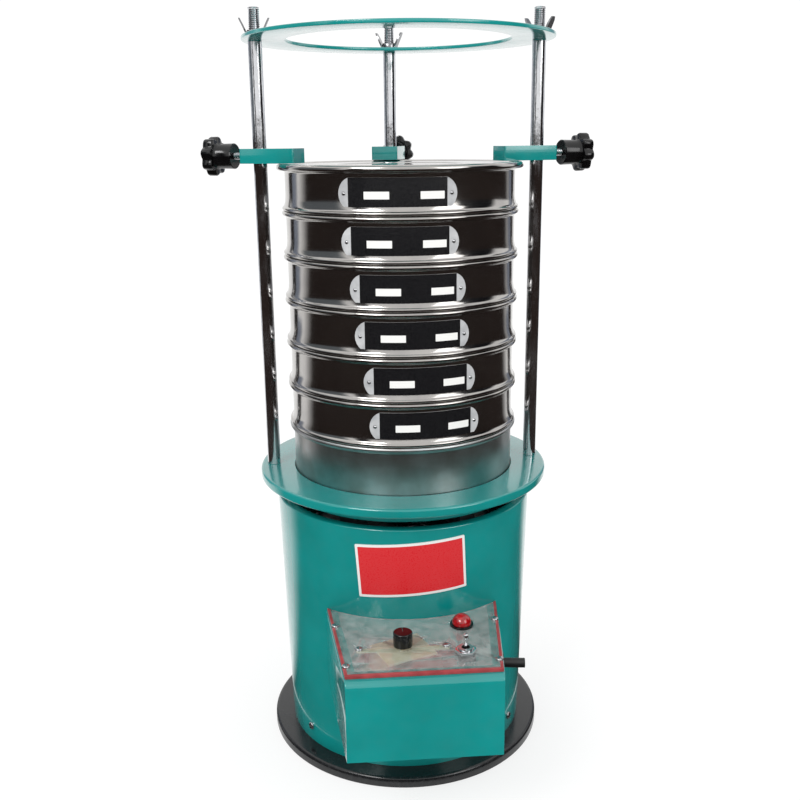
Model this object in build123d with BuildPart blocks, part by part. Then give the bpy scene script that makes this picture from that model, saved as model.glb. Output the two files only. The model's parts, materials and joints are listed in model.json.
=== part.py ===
from build123d import *
import os
from math import atan2, cos, degrees, radians, sin

os.makedirs("parts", exist_ok=True)

# Sizes are in millimetres. The machine's axis is Z, it stands on Z = 0 and its controls face -Y.

# Clearances
running_fit = 0.05
thread_fit = 0.08
bolt_play = 0.3
seat_gap = 0.2
travel_gap = 0.3

# Base plate
base_ledge = 18.0
base_thickness = 10.0
base_edge_round = 3.0
spigot_height = 24.0
spigot_wall = 5.0

# Casing
casing_taper = 6.0
casing_height = 233.4
casing_sheet = 2.0
casing_rim_width = 8.0
casing_hub_gap = 1.0
wire_window_width = 56.0
wire_window_height = 34.0
wire_window_rise = 98.0

# Foot screws
foot_screw_height = 15.0
foot_screw_angles = (-146.0, -34.0, 90.0)
foot_screw_radius = 2.0
foot_screw_head_radius = 3.5
foot_screw_head_height = 2.2
foot_screw_length = 9.0
slot_width = 0.8
slot_depth = 0.9

# Spring shelf and springs
shelf_rise = 188.0
shelf_plate = 4.0
shelf_ledge = 15.0
shelf_skirt_depth = 12.0
shelf_skirt_wall = 2.5
spring_hub_ledge = 15.0
spring_count = 4
spring_coil_radius = 12.0
spring_wire = 3.5
spring_length = 50.0
spring_turns = 4.5
spring_spigot_height = 5.0
spring_spigot_play = 0.5

# Table
table_ledge = 12.0
table_rim_thickness = 8.7
table_edge_round = 2.5
table_hub_inset = 12.0
table_hub_depth = 7.1
pan_recess_play = 0.6
pan_recess_depth = 7.8
table_centre_hole = 14.0

# Posts, post nuts and top ring
post_lid_gap = 7.4
post_angles = (180.0, 0.0, 90.0)
post_radius = 6.0
post_height = 376.0
post_stud_radius = 5.0
post_lower_stud = 16.0
post_upper_stud = 27.2
post_chamfer = 1.0
nut_flats = 16.0
nut_height = 6.0
ring_outer_ledge = 11.5
ring_inner_ledge = 25.3
ring_thickness = 3.1

# Wing nuts
wing_hub_radius = 7.0
wing_hub_height = 6.5
wing_span = 26.0
wing_height = 13.5
wing_plate = 2.6
wing_tip_width = 6.0
wing_yaws = (8.0, 150.0, -12.0)

# Clamp arms
arm_height = 12.5
arm_width = 25.0
arm_outer_reach = 14.0
arm_inner_reach = 37.0
arm_corner_round = 1.5
arm_yaws = (-22.0, 195.0, -103.0)

# Clamp screws and knobs
clamp_screw_radius = 3.0
clamp_screw_bare = 10.0
knob_hub_radius = 11.0
knob_hub_length = 16.0
knob_disc_thickness = 10.0
knob_core_radius = 13.6
knob_lobe_radius = 3.4
knob_lobes = 8
knob_screw_depth = 18.0
knob_edge_round = 1.0

# Sieve stack
sieve_outer_radius = 101.5
sieve_wall = 0.8
sieve_count = 6
sieve_pitch = 38.4
sieve_skirt_inset = 2.0
sieve_skirt_depth = 11.0
rim_reach = 3.6
rim_height = 4.5
rim_land_reach = 1.5
bead_reach = 3.3
bead_height = 7.4
bead_land_reach = 0.8
cloth_ledge = 1.0
cloth_thickness = 0.4
cloth_play = 0.3
pan_height = 51.0
pan_floor = 0.8
pan_corner_round = 3.0

# Lid
lid_rim_width = 3.1
lid_sheet = 1.5
lid_rim_depth = 5.4
lid_rim_round = 3.0
lid_rim_play = 0.4
lid_land_inset = 3.0
lid_first_step = 1.2
lid_centre_radius = 56.0
lid_centre_step = 1.0
lid_step_run = 2.0

# Motor
motor_spring_gap = 3.25
motor_flange_width = 18.0
motor_flange_thickness = 6.0
motor_leg_length = 34.0
motor_leg_width = 22.0
motor_leg_depth = 16.0
motor_leg_edge = 1.0
motor_legs = 4
motor_collar_thickness = 8.0
motor_radius = 54.0
motor_wall = 6.0
motor_length = 100.0
motor_rib_count = 16
motor_rib_height = 3.0
motor_rib_width = 3.0
motor_rib_root = 1.0
bell_thickness = 8.0
bell_spigot = 4.0
bearing_radius = 16.0
bearing_width = 9.0
bearing_lip = 2.0
bearing_boss_wall = 4.0
stator_inner_radius = 29.5
stator_length = 56.0
winding_overhang = 10.0
winding_wall = 10.0
winding_inset = 2.0
air_gap = 0.5
motor_bolt_inset = 8.0
motor_bolt_radius = 4.0
motor_bolt_flats = 13.0
motor_bolt_head = 5.5
motor_bolt_grip = 10.0

# Rotor and eccentric weights
shaft_radius = 7.0
shaft_tail = 16.0
shaft_top_gap = 10.0
weight_radius = 50.0
weight_thickness = 16.0
weight_hub_radius = 15.0
weight_bearing_gap = 8.0
lower_weight_phase = 90.0

# Control box
box_back = 90.0
box_back_half_width = 76.5
box_front = 212.0
box_front_half_width = 62.7
box_bottom = 87.0
box_height = 70.0
box_sheet = 2.0
box_front_round = 7.0
box_side_round = 0.9
box_flange_width = 9.0

# Clear cover, edging and cover screws
cover_thickness = 3.0
cover_margin = 1.0
edging_width = 2.2
cover_casing_gap = 0.5
cover_screw_rows = (124.0, 191.0)
cover_screw_inset = 3.7
cover_screw_radius = 1.5
cover_screw_head_radius = 3.3
cover_screw_head_height = 1.9
cover_screw_length = 9.0
screw_hole_play = 0.1

# Timer
timer_x = -14.0
timer_y = -165.0
timer_turn = 22.0
timer_width = 44.0
timer_depth = 36.0
timer_height = 30.0
timer_plate = 2.0
timer_plate_overhang = 2.5
timer_bush_radius = 5.0
timer_bush_rise = 2.0
timer_shaft_radius = 3.0
timer_shaft_depth = 14.0
timer_knob_radius = 8.0
timer_knob_height = 12.0
timer_knob_round = 1.2
timer_screw_spacing = 72.0

# Toggle switch
switch_x = 36.0
switch_y = -178.0
switch_width = 14.0
switch_depth = 26.0
switch_height = 24.0
switch_collar_radius = 6.0
switch_collar_rise = 5.0
switch_bore_radius = 3.5
switch_bore_depth = 11.0
switch_nut_radius = 9.0
switch_nut_height = 3.5
lever_ball_radius = 3.2
lever_neck_radius = 1.2
lever_tip_radius = 2.2
lever_length = 18.5
lever_pivot_below_cover = 4.0

# Indicator lamp
lamp_x = 39.0
lamp_y = -132.0
lamp_flange_radius = 10.0
lamp_flange_thickness = 2.0
lamp_barrel_radius = 6.0
lamp_barrel_length = 26.0
lens_radius = 8.25
lens_height = 8.5
lens_skirt = 2.0

# Capacitor and terminal block
capacitor_radius = 14.0
capacitor_length = 58.0
capacitor_x = -18.0
capacitor_y = -190.0
terminal_x = 34.0
terminal_y = -150.0
terminal_width = 46.0
terminal_depth = 17.0
terminal_base = 5.0
terminal_height = 13.0
terminal_count = 5
terminal_gap = 1.2

# Cable bush
bush_y = -157.0
bush_height = 50.0
bush_flange_radius = 8.75
bush_flange_thickness = 2.0
bush_tube_radius = 4.0
bush_tube_length = 18.0
bush_bore_radius = 3.2
bush_neck_radius = 5.0
bush_bead_radius = 7.0
bush_bead_length = 3.0

# Label plate
label_width = 96.0
label_height = 49.0
label_centre = 196.8
label_angle = -91.0
label_lean = 3.5
label_thickness = 0.8
label_corner_round = 1.0

# Radii that follow from the sieve, outwards and then down the machine
sieve_inner_radius = sieve_outer_radius - sieve_wall
sieve_skirt_radius = sieve_outer_radius - sieve_skirt_inset
skirt_inner_radius = sieve_skirt_radius - sieve_wall
rim_radius = sieve_outer_radius + rim_reach
rim_land_radius = sieve_outer_radius + rim_land_reach
bead_radius = sieve_outer_radius + bead_reach
bead_land_radius = sieve_outer_radius + bead_land_reach
pan_recess_radius = sieve_outer_radius + pan_recess_play
lid_radius = rim_radius + lid_rim_play + lid_rim_width
lid_land_inner_radius = sieve_outer_radius - lid_land_inset
post_circle = lid_radius + post_lid_gap + post_radius
ring_outer_radius = post_circle + ring_outer_ledge
ring_inner_radius = post_circle - ring_inner_ledge
table_radius = post_circle + table_ledge
table_hub_radius = post_circle - table_hub_inset
casing_top_radius = table_hub_radius + casing_hub_gap + casing_rim_width
casing_foot_radius = casing_top_radius - casing_taper
base_radius = casing_foot_radius + base_ledge
spring_circle = table_hub_radius - spring_hub_ledge
shelf_inner_radius = spring_circle - shelf_ledge
motor_flange_radius = spring_circle - spring_coil_radius - spring_wire / 2 - motor_spring_gap
motor_flange_inner = motor_flange_radius - motor_flange_width
motor_leg_inner = motor_flange_radius - motor_leg_depth
motor_bolt_circle = motor_flange_radius - motor_bolt_inset

# Levels worked out from the sizes above
base_top = base_thickness
casing_top = base_top + casing_height
shelf_top = base_top + shelf_rise + shelf_plate
hub_bottom = shelf_top + spring_length
table_rim_bottom = hub_bottom + table_hub_depth
table_top = table_rim_bottom + table_rim_thickness
pan_seat = table_top - pan_recess_depth
pan_top = pan_seat + pan_height
stack_top = pan_top + sieve_count * sieve_pitch
lid_top = stack_top + lid_sheet
arm_bottom = lid_top + travel_gap
ring_bottom = table_top + post_height
ring_top = ring_bottom + ring_thickness
motor_collar_top = hub_bottom - motor_flange_thickness - motor_leg_length
motor_foot = motor_collar_top - motor_length
shaft_top = hub_bottom - shaft_top_gap
upper_weight_bottom = motor_collar_top + weight_bearing_gap
lower_weight_bottom = motor_foot - bell_thickness - weight_bearing_gap - weight_thickness
shaft_bottom = lower_weight_bottom - shaft_tail
box_top = box_bottom + box_height
cover_top = box_top + cover_thickness


def casing_radius(height):
    """Outer radius of the tapered casing at a height above the floor."""
    slope = (casing_top_radius - casing_foot_radius) / casing_height
    return casing_foot_radius + slope * (height - base_top)


def box_half_width(depth):
    """Half the control box's width at a distance in front of the axis."""
    slope = (box_front_half_width - box_back_half_width) / (box_front - box_back)
    return box_back_half_width + slope * (depth - box_back)


def radial_plane(radius, angle, height):
    """Plane that faces away from the axis, with its own Y upwards."""
    across = Vector(-sin(radians(angle)), cos(radians(angle)), 0)
    outward = Vector(cos(radians(angle)), sin(radians(angle)), 0)
    return Plane(origin=outward * radius + Vector(0, 0, height), x_dir=across, z_dir=outward)


def upright_plane(x, y, height, yaw=0.0):
    """Level plane at a point, turned about the vertical."""
    along = Vector(cos(radians(yaw)), sin(radians(yaw)), 0)
    return Plane(origin=(x, y, height), x_dir=along, z_dir=(0, 0, 1))


def post_place(index, height, yaw=0.0):
    """Level plane on the axis of one of the three posts."""
    angle = radians(post_angles[index])
    return upright_plane(post_circle * cos(angle), post_circle * sin(angle), height, yaw)


def arm_screw_plane(index):
    """Plane across a clamp arm's screw, on the post's axis and facing away from the sieves."""
    yaw = arm_yaws[index]
    middle = post_place(index, arm_bottom + arm_height / 2).origin
    outward = Vector(-cos(radians(yaw)), -sin(radians(yaw)), 0)
    return Plane(origin=middle, x_dir=outward.cross(Vector(0, 0, 1)) * -1, z_dir=outward)


def box_outline(inset, rear_depth):
    """Four corners of the box's plan, moved in from its sides and front by one inset."""
    front = box_front - inset
    return [
        (-box_half_width(rear_depth) + inset, -rear_depth),
        (box_half_width(rear_depth) - inset, -rear_depth),
        (box_half_width(front) - inset, -front),
        (-box_half_width(front) + inset, -front),
    ]


def cover_outline(inset):
    """Plan of the cover, whose front edge ends where the box's front edge starts to round."""
    front = box_front - box_front_round
    rear = box_back - casing_rim_width
    return [
        (-box_half_width(rear) + inset, -rear),
        (box_half_width(rear) - inset, -rear),
        (box_half_width(front) - inset, -front + inset - cover_margin),
        (-box_half_width(front) + inset, -front + inset - cover_margin),
    ]


def cover_screw_points():
    """Two rows of cover screws, and the pair that holds the timer."""
    inset = cover_screw_inset
    points = [(side * (box_half_width(row) - inset), -row) for row in cover_screw_rows for side in (-1, 1)]
    points += [(timer_x + side * timer_screw_spacing / 2, timer_y) for side in (-1, 1)]
    return points


# Base plate with the spigot that the casing stands over
def make_base_plate():
    spigot_top = base_top + spigot_height
    spigot_foot_radius = casing_radius(base_top) - casing_sheet - seat_gap
    spigot_top_radius = casing_radius(spigot_top) - casing_sheet - seat_gap
    with BuildPart() as base_plate:
        with BuildSketch(Plane.XZ):
            with BuildLine():
                Polyline((0, 0), (base_radius, 0), (base_radius, base_top - base_edge_round))
                RadiusArc(
                    (base_radius, base_top - base_edge_round),
                    (base_radius - base_edge_round, base_top),
                    -base_edge_round,
                )
                Polyline(
                    (base_radius - base_edge_round, base_top),
                    (spigot_foot_radius, base_top),
                    (spigot_top_radius, spigot_top),
                    (spigot_top_radius - spigot_wall, spigot_top),
                    (spigot_foot_radius - spigot_wall, base_top),
                    (0, base_top),
                    (0, 0),
                )
            make_face()
        revolve(axis=Axis.Z)
        for angle in foot_screw_angles:
            with BuildSketch(radial_plane(casing_foot_radius, angle, base_top + foot_screw_height)):
                Circle(foot_screw_radius + thread_fit)
            extrude(amount=-foot_screw_length - spigot_wall, mode=Mode.SUBTRACT)
    return base_plate


# Casing: a tapered drum of sheet with its rim turned in
def make_casing():
    rim_underside = casing_top - casing_sheet
    with BuildPart() as casing:
        with BuildSketch(Plane.XZ):
            with BuildLine():
                Polyline(
                    (casing_foot_radius, base_top),
                    (casing_top_radius, casing_top),
                    (casing_top_radius - casing_rim_width, casing_top),
                    (casing_top_radius - casing_rim_width, rim_underside),
                    (casing_radius(rim_underside) - casing_sheet, rim_underside),
                    (casing_foot_radius - casing_sheet, base_top),
                    close=True,
                )
            make_face()
        revolve(axis=Axis.Z)
        window_plane = radial_plane(base_radius, -90, base_top + wire_window_rise)
        with BuildSketch(window_plane):
            RectangleRounded(wire_window_width, wire_window_height, wire_window_height / 4)
        extrude(amount=-base_radius / 2, mode=Mode.SUBTRACT)
        for angle in foot_screw_angles:
            with BuildSketch(radial_plane(base_radius, angle, base_top + foot_screw_height)):
                Circle(foot_screw_radius + thread_fit)
            extrude(amount=-base_radius / 2, mode=Mode.SUBTRACT)
    return casing


def pan_head_screw(place, head_radius, head_height, shank_radius, length):
    """Slotted pan head on a plane, with its shank behind the plane."""
    with BuildPart() as screw:
        with BuildSketch(place):
            Circle(shank_radius)
        extrude(amount=-length)
        with BuildSketch(place):
            Circle(head_radius)
        extrude(amount=head_height, taper=12)
        with BuildSketch(place.offset(head_height)):
            Rectangle(2 * head_radius, slot_width)
        extrude(amount=-slot_depth, mode=Mode.SUBTRACT)
    return screw


# Screws round the casing's foot
def make_foot_screws():
    height = base_top + foot_screw_height
    screws = [
        pan_head_screw(
            radial_plane(casing_radius(height) + seat_gap, angle, height),
            foot_screw_head_radius,
            foot_screw_head_height,
            foot_screw_radius,
            foot_screw_length,
        )
        for angle in foot_screw_angles
    ]
    with BuildPart() as foot_screws:
        add([screw.part for screw in screws])
    return foot_screws


# Shelf inside the casing that carries the springs
def make_spring_shelf():
    shelf_bottom = shelf_top - shelf_plate
    skirt_foot = shelf_bottom - shelf_skirt_depth
    top_radius = casing_radius(shelf_top) - casing_sheet - seat_gap
    skirt_radius = casing_radius(skirt_foot) - casing_sheet - seat_gap
    with BuildPart() as spring_shelf:
        with BuildSketch(Plane.XZ):
            with BuildLine():
                Polyline(
                    (shelf_inner_radius, shelf_top),
                    (top_radius, shelf_top),
                    (skirt_radius, skirt_foot),
                    (skirt_radius - shelf_skirt_wall, skirt_foot),
                    (skirt_radius - shelf_skirt_wall, shelf_bottom),
                    (shelf_inner_radius, shelf_bottom),
                    close=True,
                )
            make_face()
        revolve(axis=Axis.Z)
        with BuildSketch(Plane.XY.offset(shelf_top)):
            with PolarLocations(spring_circle, spring_count):
                Circle(spring_coil_radius - spring_wire / 2 - spring_spigot_play)
        extrude(amount=spring_spigot_height)
    return spring_shelf


# Four open coil springs
def make_springs():
    rise = spring_length - spring_wire
    foot = shelf_top + spring_wire / 2
    with BuildPart() as springs:
        with BuildLine() as coil:
            Helix(pitch=rise / spring_turns, height=rise, radius=spring_coil_radius)
        with BuildSketch(Plane(origin=coil.line @ 0, z_dir=coil.line % 0)):
            Circle(spring_wire / 2)
        sweep(path=coil.line, is_frenet=True)
    coils = PolarLocations(spring_circle, spring_count).locations
    with BuildPart() as spring_set:
        for place in coils:
            add(springs.part.moved(Pos(0, 0, foot) * place))
    return spring_set


# Table with the pan's recess, the hub below and the holes for posts and motor bolts
def make_table():
    with BuildPart() as table_plate:
        with BuildSketch(Plane.XY.offset(table_rim_bottom)):
            Circle(table_radius)
        extrude(amount=table_rim_thickness)
        fillet(table_plate.edges().filter_by(GeomType.CIRCLE), radius=table_edge_round)
        with BuildSketch(Plane.XY.offset(hub_bottom)):
            Circle(table_hub_radius)
        extrude(amount=table_hub_depth)
        with BuildSketch(Plane.XY.offset(pan_seat)):
            Circle(pan_recess_radius)
        extrude(amount=pan_recess_depth, mode=Mode.SUBTRACT)
        with BuildSketch(Plane.XY.offset(hub_bottom)):
            with PolarLocations(spring_circle, spring_count):
                Circle(spring_coil_radius - spring_wire / 2 - spring_spigot_play)
        extrude(amount=-spring_spigot_height)
        with BuildSketch(Plane.XY.offset(hub_bottom)):
            Circle(table_centre_hole)
            with PolarLocations(motor_bolt_circle, motor_legs):
                Circle(motor_bolt_radius + thread_fit)
        extrude(amount=pan_seat - hub_bottom, mode=Mode.SUBTRACT)
        for index in range(len(post_angles)):
            with BuildSketch(post_place(index, table_top)):
                Circle(post_stud_radius + bolt_play)
            extrude(amount=-table_rim_thickness, mode=Mode.SUBTRACT)
    return table_plate


# Three turned posts with a stud at each end
def make_posts():
    with BuildPart() as posts:
        for index in range(len(post_angles)):
            with BuildSketch(post_place(index, table_top)):
                Circle(post_radius)
            extrude(amount=post_height)
            with BuildSketch(post_place(index, table_top - post_lower_stud)):
                Circle(post_stud_radius)
            extrude(amount=post_lower_stud)
            with BuildSketch(post_place(index, ring_bottom)):
                Circle(post_stud_radius)
            extrude(amount=post_upper_stud)
        stud_ends = posts.faces().filter_by(Axis.Z).group_by(Axis.Z)
        chamfer(stud_ends[-1].edges() + stud_ends[0].edges(), length=post_chamfer)
    return posts


# Nuts under the table rim
def make_post_nuts():
    with BuildPart() as post_nuts:
        for index in range(len(post_angles)):
            with BuildSketch(post_place(index, table_rim_bottom)):
                RegularPolygon(nut_flats / 2, 6, major_radius=False)
                Circle(post_stud_radius + thread_fit, mode=Mode.SUBTRACT)
            extrude(amount=-nut_height)
    return post_nuts


# Flat ring that joins the posts' tops
def make_top_ring():
    with BuildPart() as top_ring:
        with BuildSketch(Plane.XY.offset(ring_bottom)):
            Circle(ring_outer_radius)
            Circle(ring_inner_radius, mode=Mode.SUBTRACT)
            with Locations([post_place(index, 0).origin for index in range(len(post_angles))]):
                Circle(post_stud_radius + bolt_play, mode=Mode.SUBTRACT)
        extrude(amount=ring_thickness)
    return top_ring


# Wing nut: a tapered hub with two ears that lean outwards
def make_wing_nut(index):
    place = post_place(index, ring_top, wing_yaws[index])
    ear_plane = Plane(origin=place.origin, x_dir=place.x_dir, z_dir=place.x_dir.cross(Vector(0, 0, 1)))
    half_span = wing_span / 2
    with BuildPart() as wing_nut:
        with BuildSketch(place):
            Circle(wing_hub_radius)
        extrude(amount=wing_hub_height, taper=6)
        for side in (-1, 1):
            with BuildSketch(ear_plane):
                with BuildLine():
                    Polyline(
                        (side * (half_span - wing_tip_width), wing_height),
                        (side * post_stud_radius, wing_hub_height * 0.9),
                        (side * post_stud_radius, 1.0),
                        (side * wing_hub_radius, 1.0),
                        (side * half_span, wing_height * 0.6),
                    )
                    ThreePointArc(
                        (side * half_span, wing_height * 0.6),
                        (side * (half_span - 0.8), wing_height * 0.9),
                        (side * (half_span - wing_tip_width), wing_height),
                    )
                make_face()
            extrude(amount=wing_plate / 2, both=True)
        with BuildSketch(place):
            Circle(post_stud_radius + thread_fit)
        extrude(amount=wing_height, mode=Mode.SUBTRACT)
    return wing_nut


# Clamp arm: a bar that slides on its post, with the clamp screw's hole in its outer end
def make_clamp_arm(index):
    place = post_place(index, arm_bottom, arm_yaws[index])
    length = arm_inner_reach + arm_outer_reach
    with BuildPart() as clamp_arm:
        with BuildSketch(place):
            with Locations(((arm_inner_reach - arm_outer_reach) / 2, 0)):
                RectangleRounded(length, arm_width, arm_corner_round)
            Circle(post_radius + running_fit, mode=Mode.SUBTRACT)
        extrude(amount=arm_height)
        with BuildSketch(arm_screw_plane(index)):
            Circle(clamp_screw_radius + thread_fit)
        extrude(amount=arm_outer_reach + arm_corner_round, mode=Mode.SUBTRACT)
    return clamp_arm


# Clamp screw from the post's surface to the inside of the knob
def make_clamp_screw(index):
    start = arm_screw_plane(index).offset(post_radius + travel_gap)
    length = arm_outer_reach + clamp_screw_bare + knob_screw_depth - post_radius - travel_gap
    with BuildPart() as clamp_screw:
        with BuildSketch(start):
            Circle(clamp_screw_radius)
        extrude(amount=length)
    return clamp_screw


# Star knob: a round hub with a lobed disc
def make_clamp_knob(index):
    hub_start = arm_screw_plane(index).offset(arm_outer_reach + clamp_screw_bare)
    disc_start = hub_start.offset(knob_hub_length)
    with BuildPart() as clamp_knob:
        with BuildSketch(disc_start):
            Circle(knob_core_radius)
            with PolarLocations(knob_core_radius, knob_lobes):
                Circle(knob_lobe_radius)
        extrude(amount=knob_disc_thickness)
        with BuildSketch(hub_start):
            Circle(knob_hub_radius)
        extrude(amount=knob_hub_length)
        with BuildSketch(hub_start):
            Circle(clamp_screw_radius + thread_fit)
        extrude(amount=knob_screw_depth + thread_fit, mode=Mode.SUBTRACT)
    return clamp_knob


# Receiving pan, in the table's recess
def make_pan():
    inner_radius = sieve_inner_radius
    floor_top = pan_seat + pan_floor
    inner_round = pan_corner_round - pan_floor
    with BuildPart() as pan:
        with BuildSketch(Plane.XZ):
            with BuildLine():
                Line((0, floor_top), (0, pan_seat))
                Line((0, pan_seat), (sieve_outer_radius - pan_corner_round, pan_seat))
                RadiusArc(
                    (sieve_outer_radius - pan_corner_round, pan_seat),
                    (sieve_outer_radius, pan_seat + pan_corner_round),
                    -pan_corner_round,
                )
                Line((sieve_outer_radius, pan_seat + pan_corner_round), (sieve_outer_radius, pan_top - rim_height))
                ThreePointArc(
                    (sieve_outer_radius, pan_top - rim_height),
                    (rim_radius, pan_top - rim_height / 2),
                    (rim_land_radius, pan_top),
                )
                Line((rim_land_radius, pan_top), (inner_radius, pan_top))
                Line((inner_radius, pan_top), (inner_radius, floor_top + inner_round))
                RadiusArc(
                    (inner_radius, floor_top + inner_round),
                    (inner_radius - inner_round, floor_top),
                    inner_round,
                )
                Line((inner_radius - inner_round, floor_top), (0, floor_top))
            make_face()
        revolve(axis=Axis.Z)
    return pan


# Sieve frame: one drawn wall with a nesting skirt, a seating bead and a rolled rim
def make_sieve_frame(seat):
    rim_top = seat + sieve_pitch
    with BuildPart() as sieve_frame:
        with BuildSketch(Plane.XZ):
            with BuildLine():
                Polyline(
                    (skirt_inner_radius, seat + cloth_ledge),
                    (skirt_inner_radius, seat - sieve_skirt_depth),
                    (sieve_skirt_radius, seat - sieve_skirt_depth),
                    (sieve_skirt_radius, seat),
                    (bead_land_radius, seat),
                )
                ThreePointArc(
                    (bead_land_radius, seat),
                    (bead_radius, seat + bead_height / 2),
                    (sieve_outer_radius, seat + bead_height),
                )
                Line((sieve_outer_radius, seat + bead_height), (sieve_outer_radius, rim_top - rim_height))
                ThreePointArc(
                    (sieve_outer_radius, rim_top - rim_height),
                    (rim_radius, rim_top - rim_height / 2),
                    (rim_land_radius, rim_top),
                )
                Polyline(
                    (rim_land_radius, rim_top),
                    (sieve_inner_radius, rim_top),
                    (sieve_inner_radius, seat + cloth_ledge),
                    (skirt_inner_radius, seat + cloth_ledge),
                )
            make_face()
        revolve(axis=Axis.Z)
    return sieve_frame


# Sieve cloth, soldered on the frame's ledge
def make_sieve_cloth(seat):
    with BuildPart() as sieve_cloth:
        with BuildSketch(Plane.XY.offset(seat + cloth_ledge)):
            Circle(sieve_inner_radius - cloth_play)
        extrude(amount=cloth_thickness)
    return sieve_cloth


# Lid: pressed sheet with two steps and a rolled rim outside the top sieve
def make_lid():
    land = lid_top
    middle = land - lid_first_step
    centre = middle - lid_centre_step
    rim_inner = rim_radius + lid_rim_play
    step_out = lid_land_inner_radius - lid_step_run
    centre_in = lid_centre_radius - lid_step_run
    with BuildPart() as lid:
        with BuildSketch(Plane.XZ):
            with BuildLine():
                Polyline(
                    (lid_radius, land - lid_rim_round),
                    (lid_radius, land - lid_rim_depth),
                    (rim_inner, land - lid_rim_depth),
                    (rim_inner, land - lid_sheet),
                    (lid_land_inner_radius, land - lid_sheet),
                    (step_out, middle - lid_sheet),
                    (lid_centre_radius, middle - lid_sheet),
                    (centre_in, centre - lid_sheet),
                    (0, centre - lid_sheet),
                    (0, centre),
                    (centre_in, centre),
                    (lid_centre_radius, middle),
                    (step_out, middle),
                    (lid_land_inner_radius, land),
                    (lid_radius - lid_rim_round, land),
                )
                RadiusArc(
                    (lid_radius - lid_rim_round, land), (lid_radius, land - lid_rim_round), lid_rim_round
                )
            make_face()
        revolve(axis=Axis.Z)
    return lid


# Motor body: flange and legs under the table, collar and ribbed shell
def make_motor_housing():
    collar_bottom = motor_collar_top - motor_collar_thickness
    bore_radius = motor_radius - motor_wall
    bearing_seat = collar_bottom + motor_collar_thickness - bearing_lip - bearing_width
    with BuildPart() as motor_housing:
        with BuildSketch(Plane.XY.offset(hub_bottom)):
            Circle(motor_flange_radius)
            Circle(motor_flange_inner, mode=Mode.SUBTRACT)
        extrude(amount=-motor_flange_thickness)
        with BuildSketch(Plane.XY.offset(hub_bottom)):
            with PolarLocations((motor_leg_inner + motor_flange_radius) / 2, motor_legs, start_angle=45):
                Rectangle(motor_leg_depth - 2 * motor_leg_edge, motor_leg_width)
        extrude(amount=collar_bottom - hub_bottom)
        with BuildSketch(Plane.XY.offset(collar_bottom)):
            Circle(motor_flange_radius)
        extrude(amount=motor_collar_thickness)
        with BuildSketch(Plane.XY.offset(motor_foot)):
            Circle(motor_radius)
        extrude(amount=collar_bottom - motor_foot)
        with BuildSketch(Plane.XY.offset(motor_foot)):
            with PolarLocations(motor_radius + motor_rib_height / 2, motor_rib_count):
                Rectangle(motor_rib_height + motor_rib_root, motor_rib_width)
        extrude(amount=collar_bottom - motor_foot)
        with BuildSketch(Plane.XY.offset(motor_foot)):
            Circle(bore_radius)
        extrude(amount=collar_bottom - motor_foot, mode=Mode.SUBTRACT)
        with BuildSketch(Plane.XY.offset(bearing_seat)):
            Circle(bearing_radius + bearing_boss_wall)
        extrude(amount=motor_collar_top - bearing_seat)
        with BuildSketch(Plane.XY.offset(bearing_seat)):
            Circle(bearing_radius + running_fit)
        extrude(amount=bearing_width, mode=Mode.SUBTRACT)
        with BuildSketch(Plane.XY.offset(bearing_seat)):
            Circle(shaft_radius + bearing_lip)
        extrude(amount=motor_collar_top - bearing_seat, mode=Mode.SUBTRACT)
        bolt_points = PolarLocations(motor_bolt_circle, motor_legs)
        with BuildSketch(Plane.XY.offset(hub_bottom)):
            with bolt_points:
                Circle(motor_bolt_radius + bolt_play)
        extrude(amount=-motor_flange_thickness, mode=Mode.SUBTRACT)
    return motor_housing


# Stator: laminated ring with the ends of its windings above and below
def make_motor_stator():
    bottom = motor_foot + (motor_length - motor_collar_thickness - stator_length) / 2
    outer = motor_radius - motor_wall - seat_gap
    with BuildPart() as motor_stator:
        with BuildSketch(Plane.XY.offset(bottom)):
            Circle(outer)
            Circle(stator_inner_radius, mode=Mode.SUBTRACT)
        extrude(amount=stator_length)
        with BuildSketch(Plane.XY.offset(bottom - winding_overhang)):
            Circle(stator_inner_radius + winding_inset + winding_wall)
            Circle(stator_inner_radius + winding_inset, mode=Mode.SUBTRACT)
        extrude(amount=stator_length + 2 * winding_overhang)
    return motor_stator


# Lower end bell with its bearing seat
def make_motor_lower_bell():
    bell_top = motor_foot
    bearing_bottom = bell_top - bell_thickness + bearing_lip
    with BuildPart() as motor_lower_bell:
        with BuildSketch(Plane.XY.offset(bell_top - bell_thickness)):
            Circle(motor_radius)
        extrude(amount=bell_thickness)
        with BuildSketch(Plane.XY.offset(bell_top)):
            Circle(motor_radius - motor_wall - seat_gap)
            Circle(motor_radius - 2 * motor_wall, mode=Mode.SUBTRACT)
        extrude(amount=bell_spigot)
        with BuildSketch(Plane.XY.offset(bell_top)):
            Circle(bearing_radius + bearing_boss_wall)
        extrude(amount=bearing_bottom + bearing_width - bell_top)
        with BuildSketch(Plane.XY.offset(bearing_bottom)):
            Circle(bearing_radius + running_fit)
        extrude(amount=bearing_width, mode=Mode.SUBTRACT)
        with BuildSketch(Plane.XY.offset(bell_top - bell_thickness)):
            Circle(shaft_radius + bearing_lip)
        extrude(amount=bell_thickness, mode=Mode.SUBTRACT)
    return motor_lower_bell


# Bearings in the collar and in the lower bell
def make_motor_bearings():
    lower = motor_foot - bell_thickness + bearing_lip
    upper = motor_collar_top - bearing_lip - bearing_width
    with BuildPart() as motor_bearings:
        for bottom in (lower, upper):
            with BuildSketch(Plane.XY.offset(bottom)):
                Circle(bearing_radius)
                Circle(shaft_radius + running_fit, mode=Mode.SUBTRACT)
            extrude(amount=bearing_width)
    return motor_bearings


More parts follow.
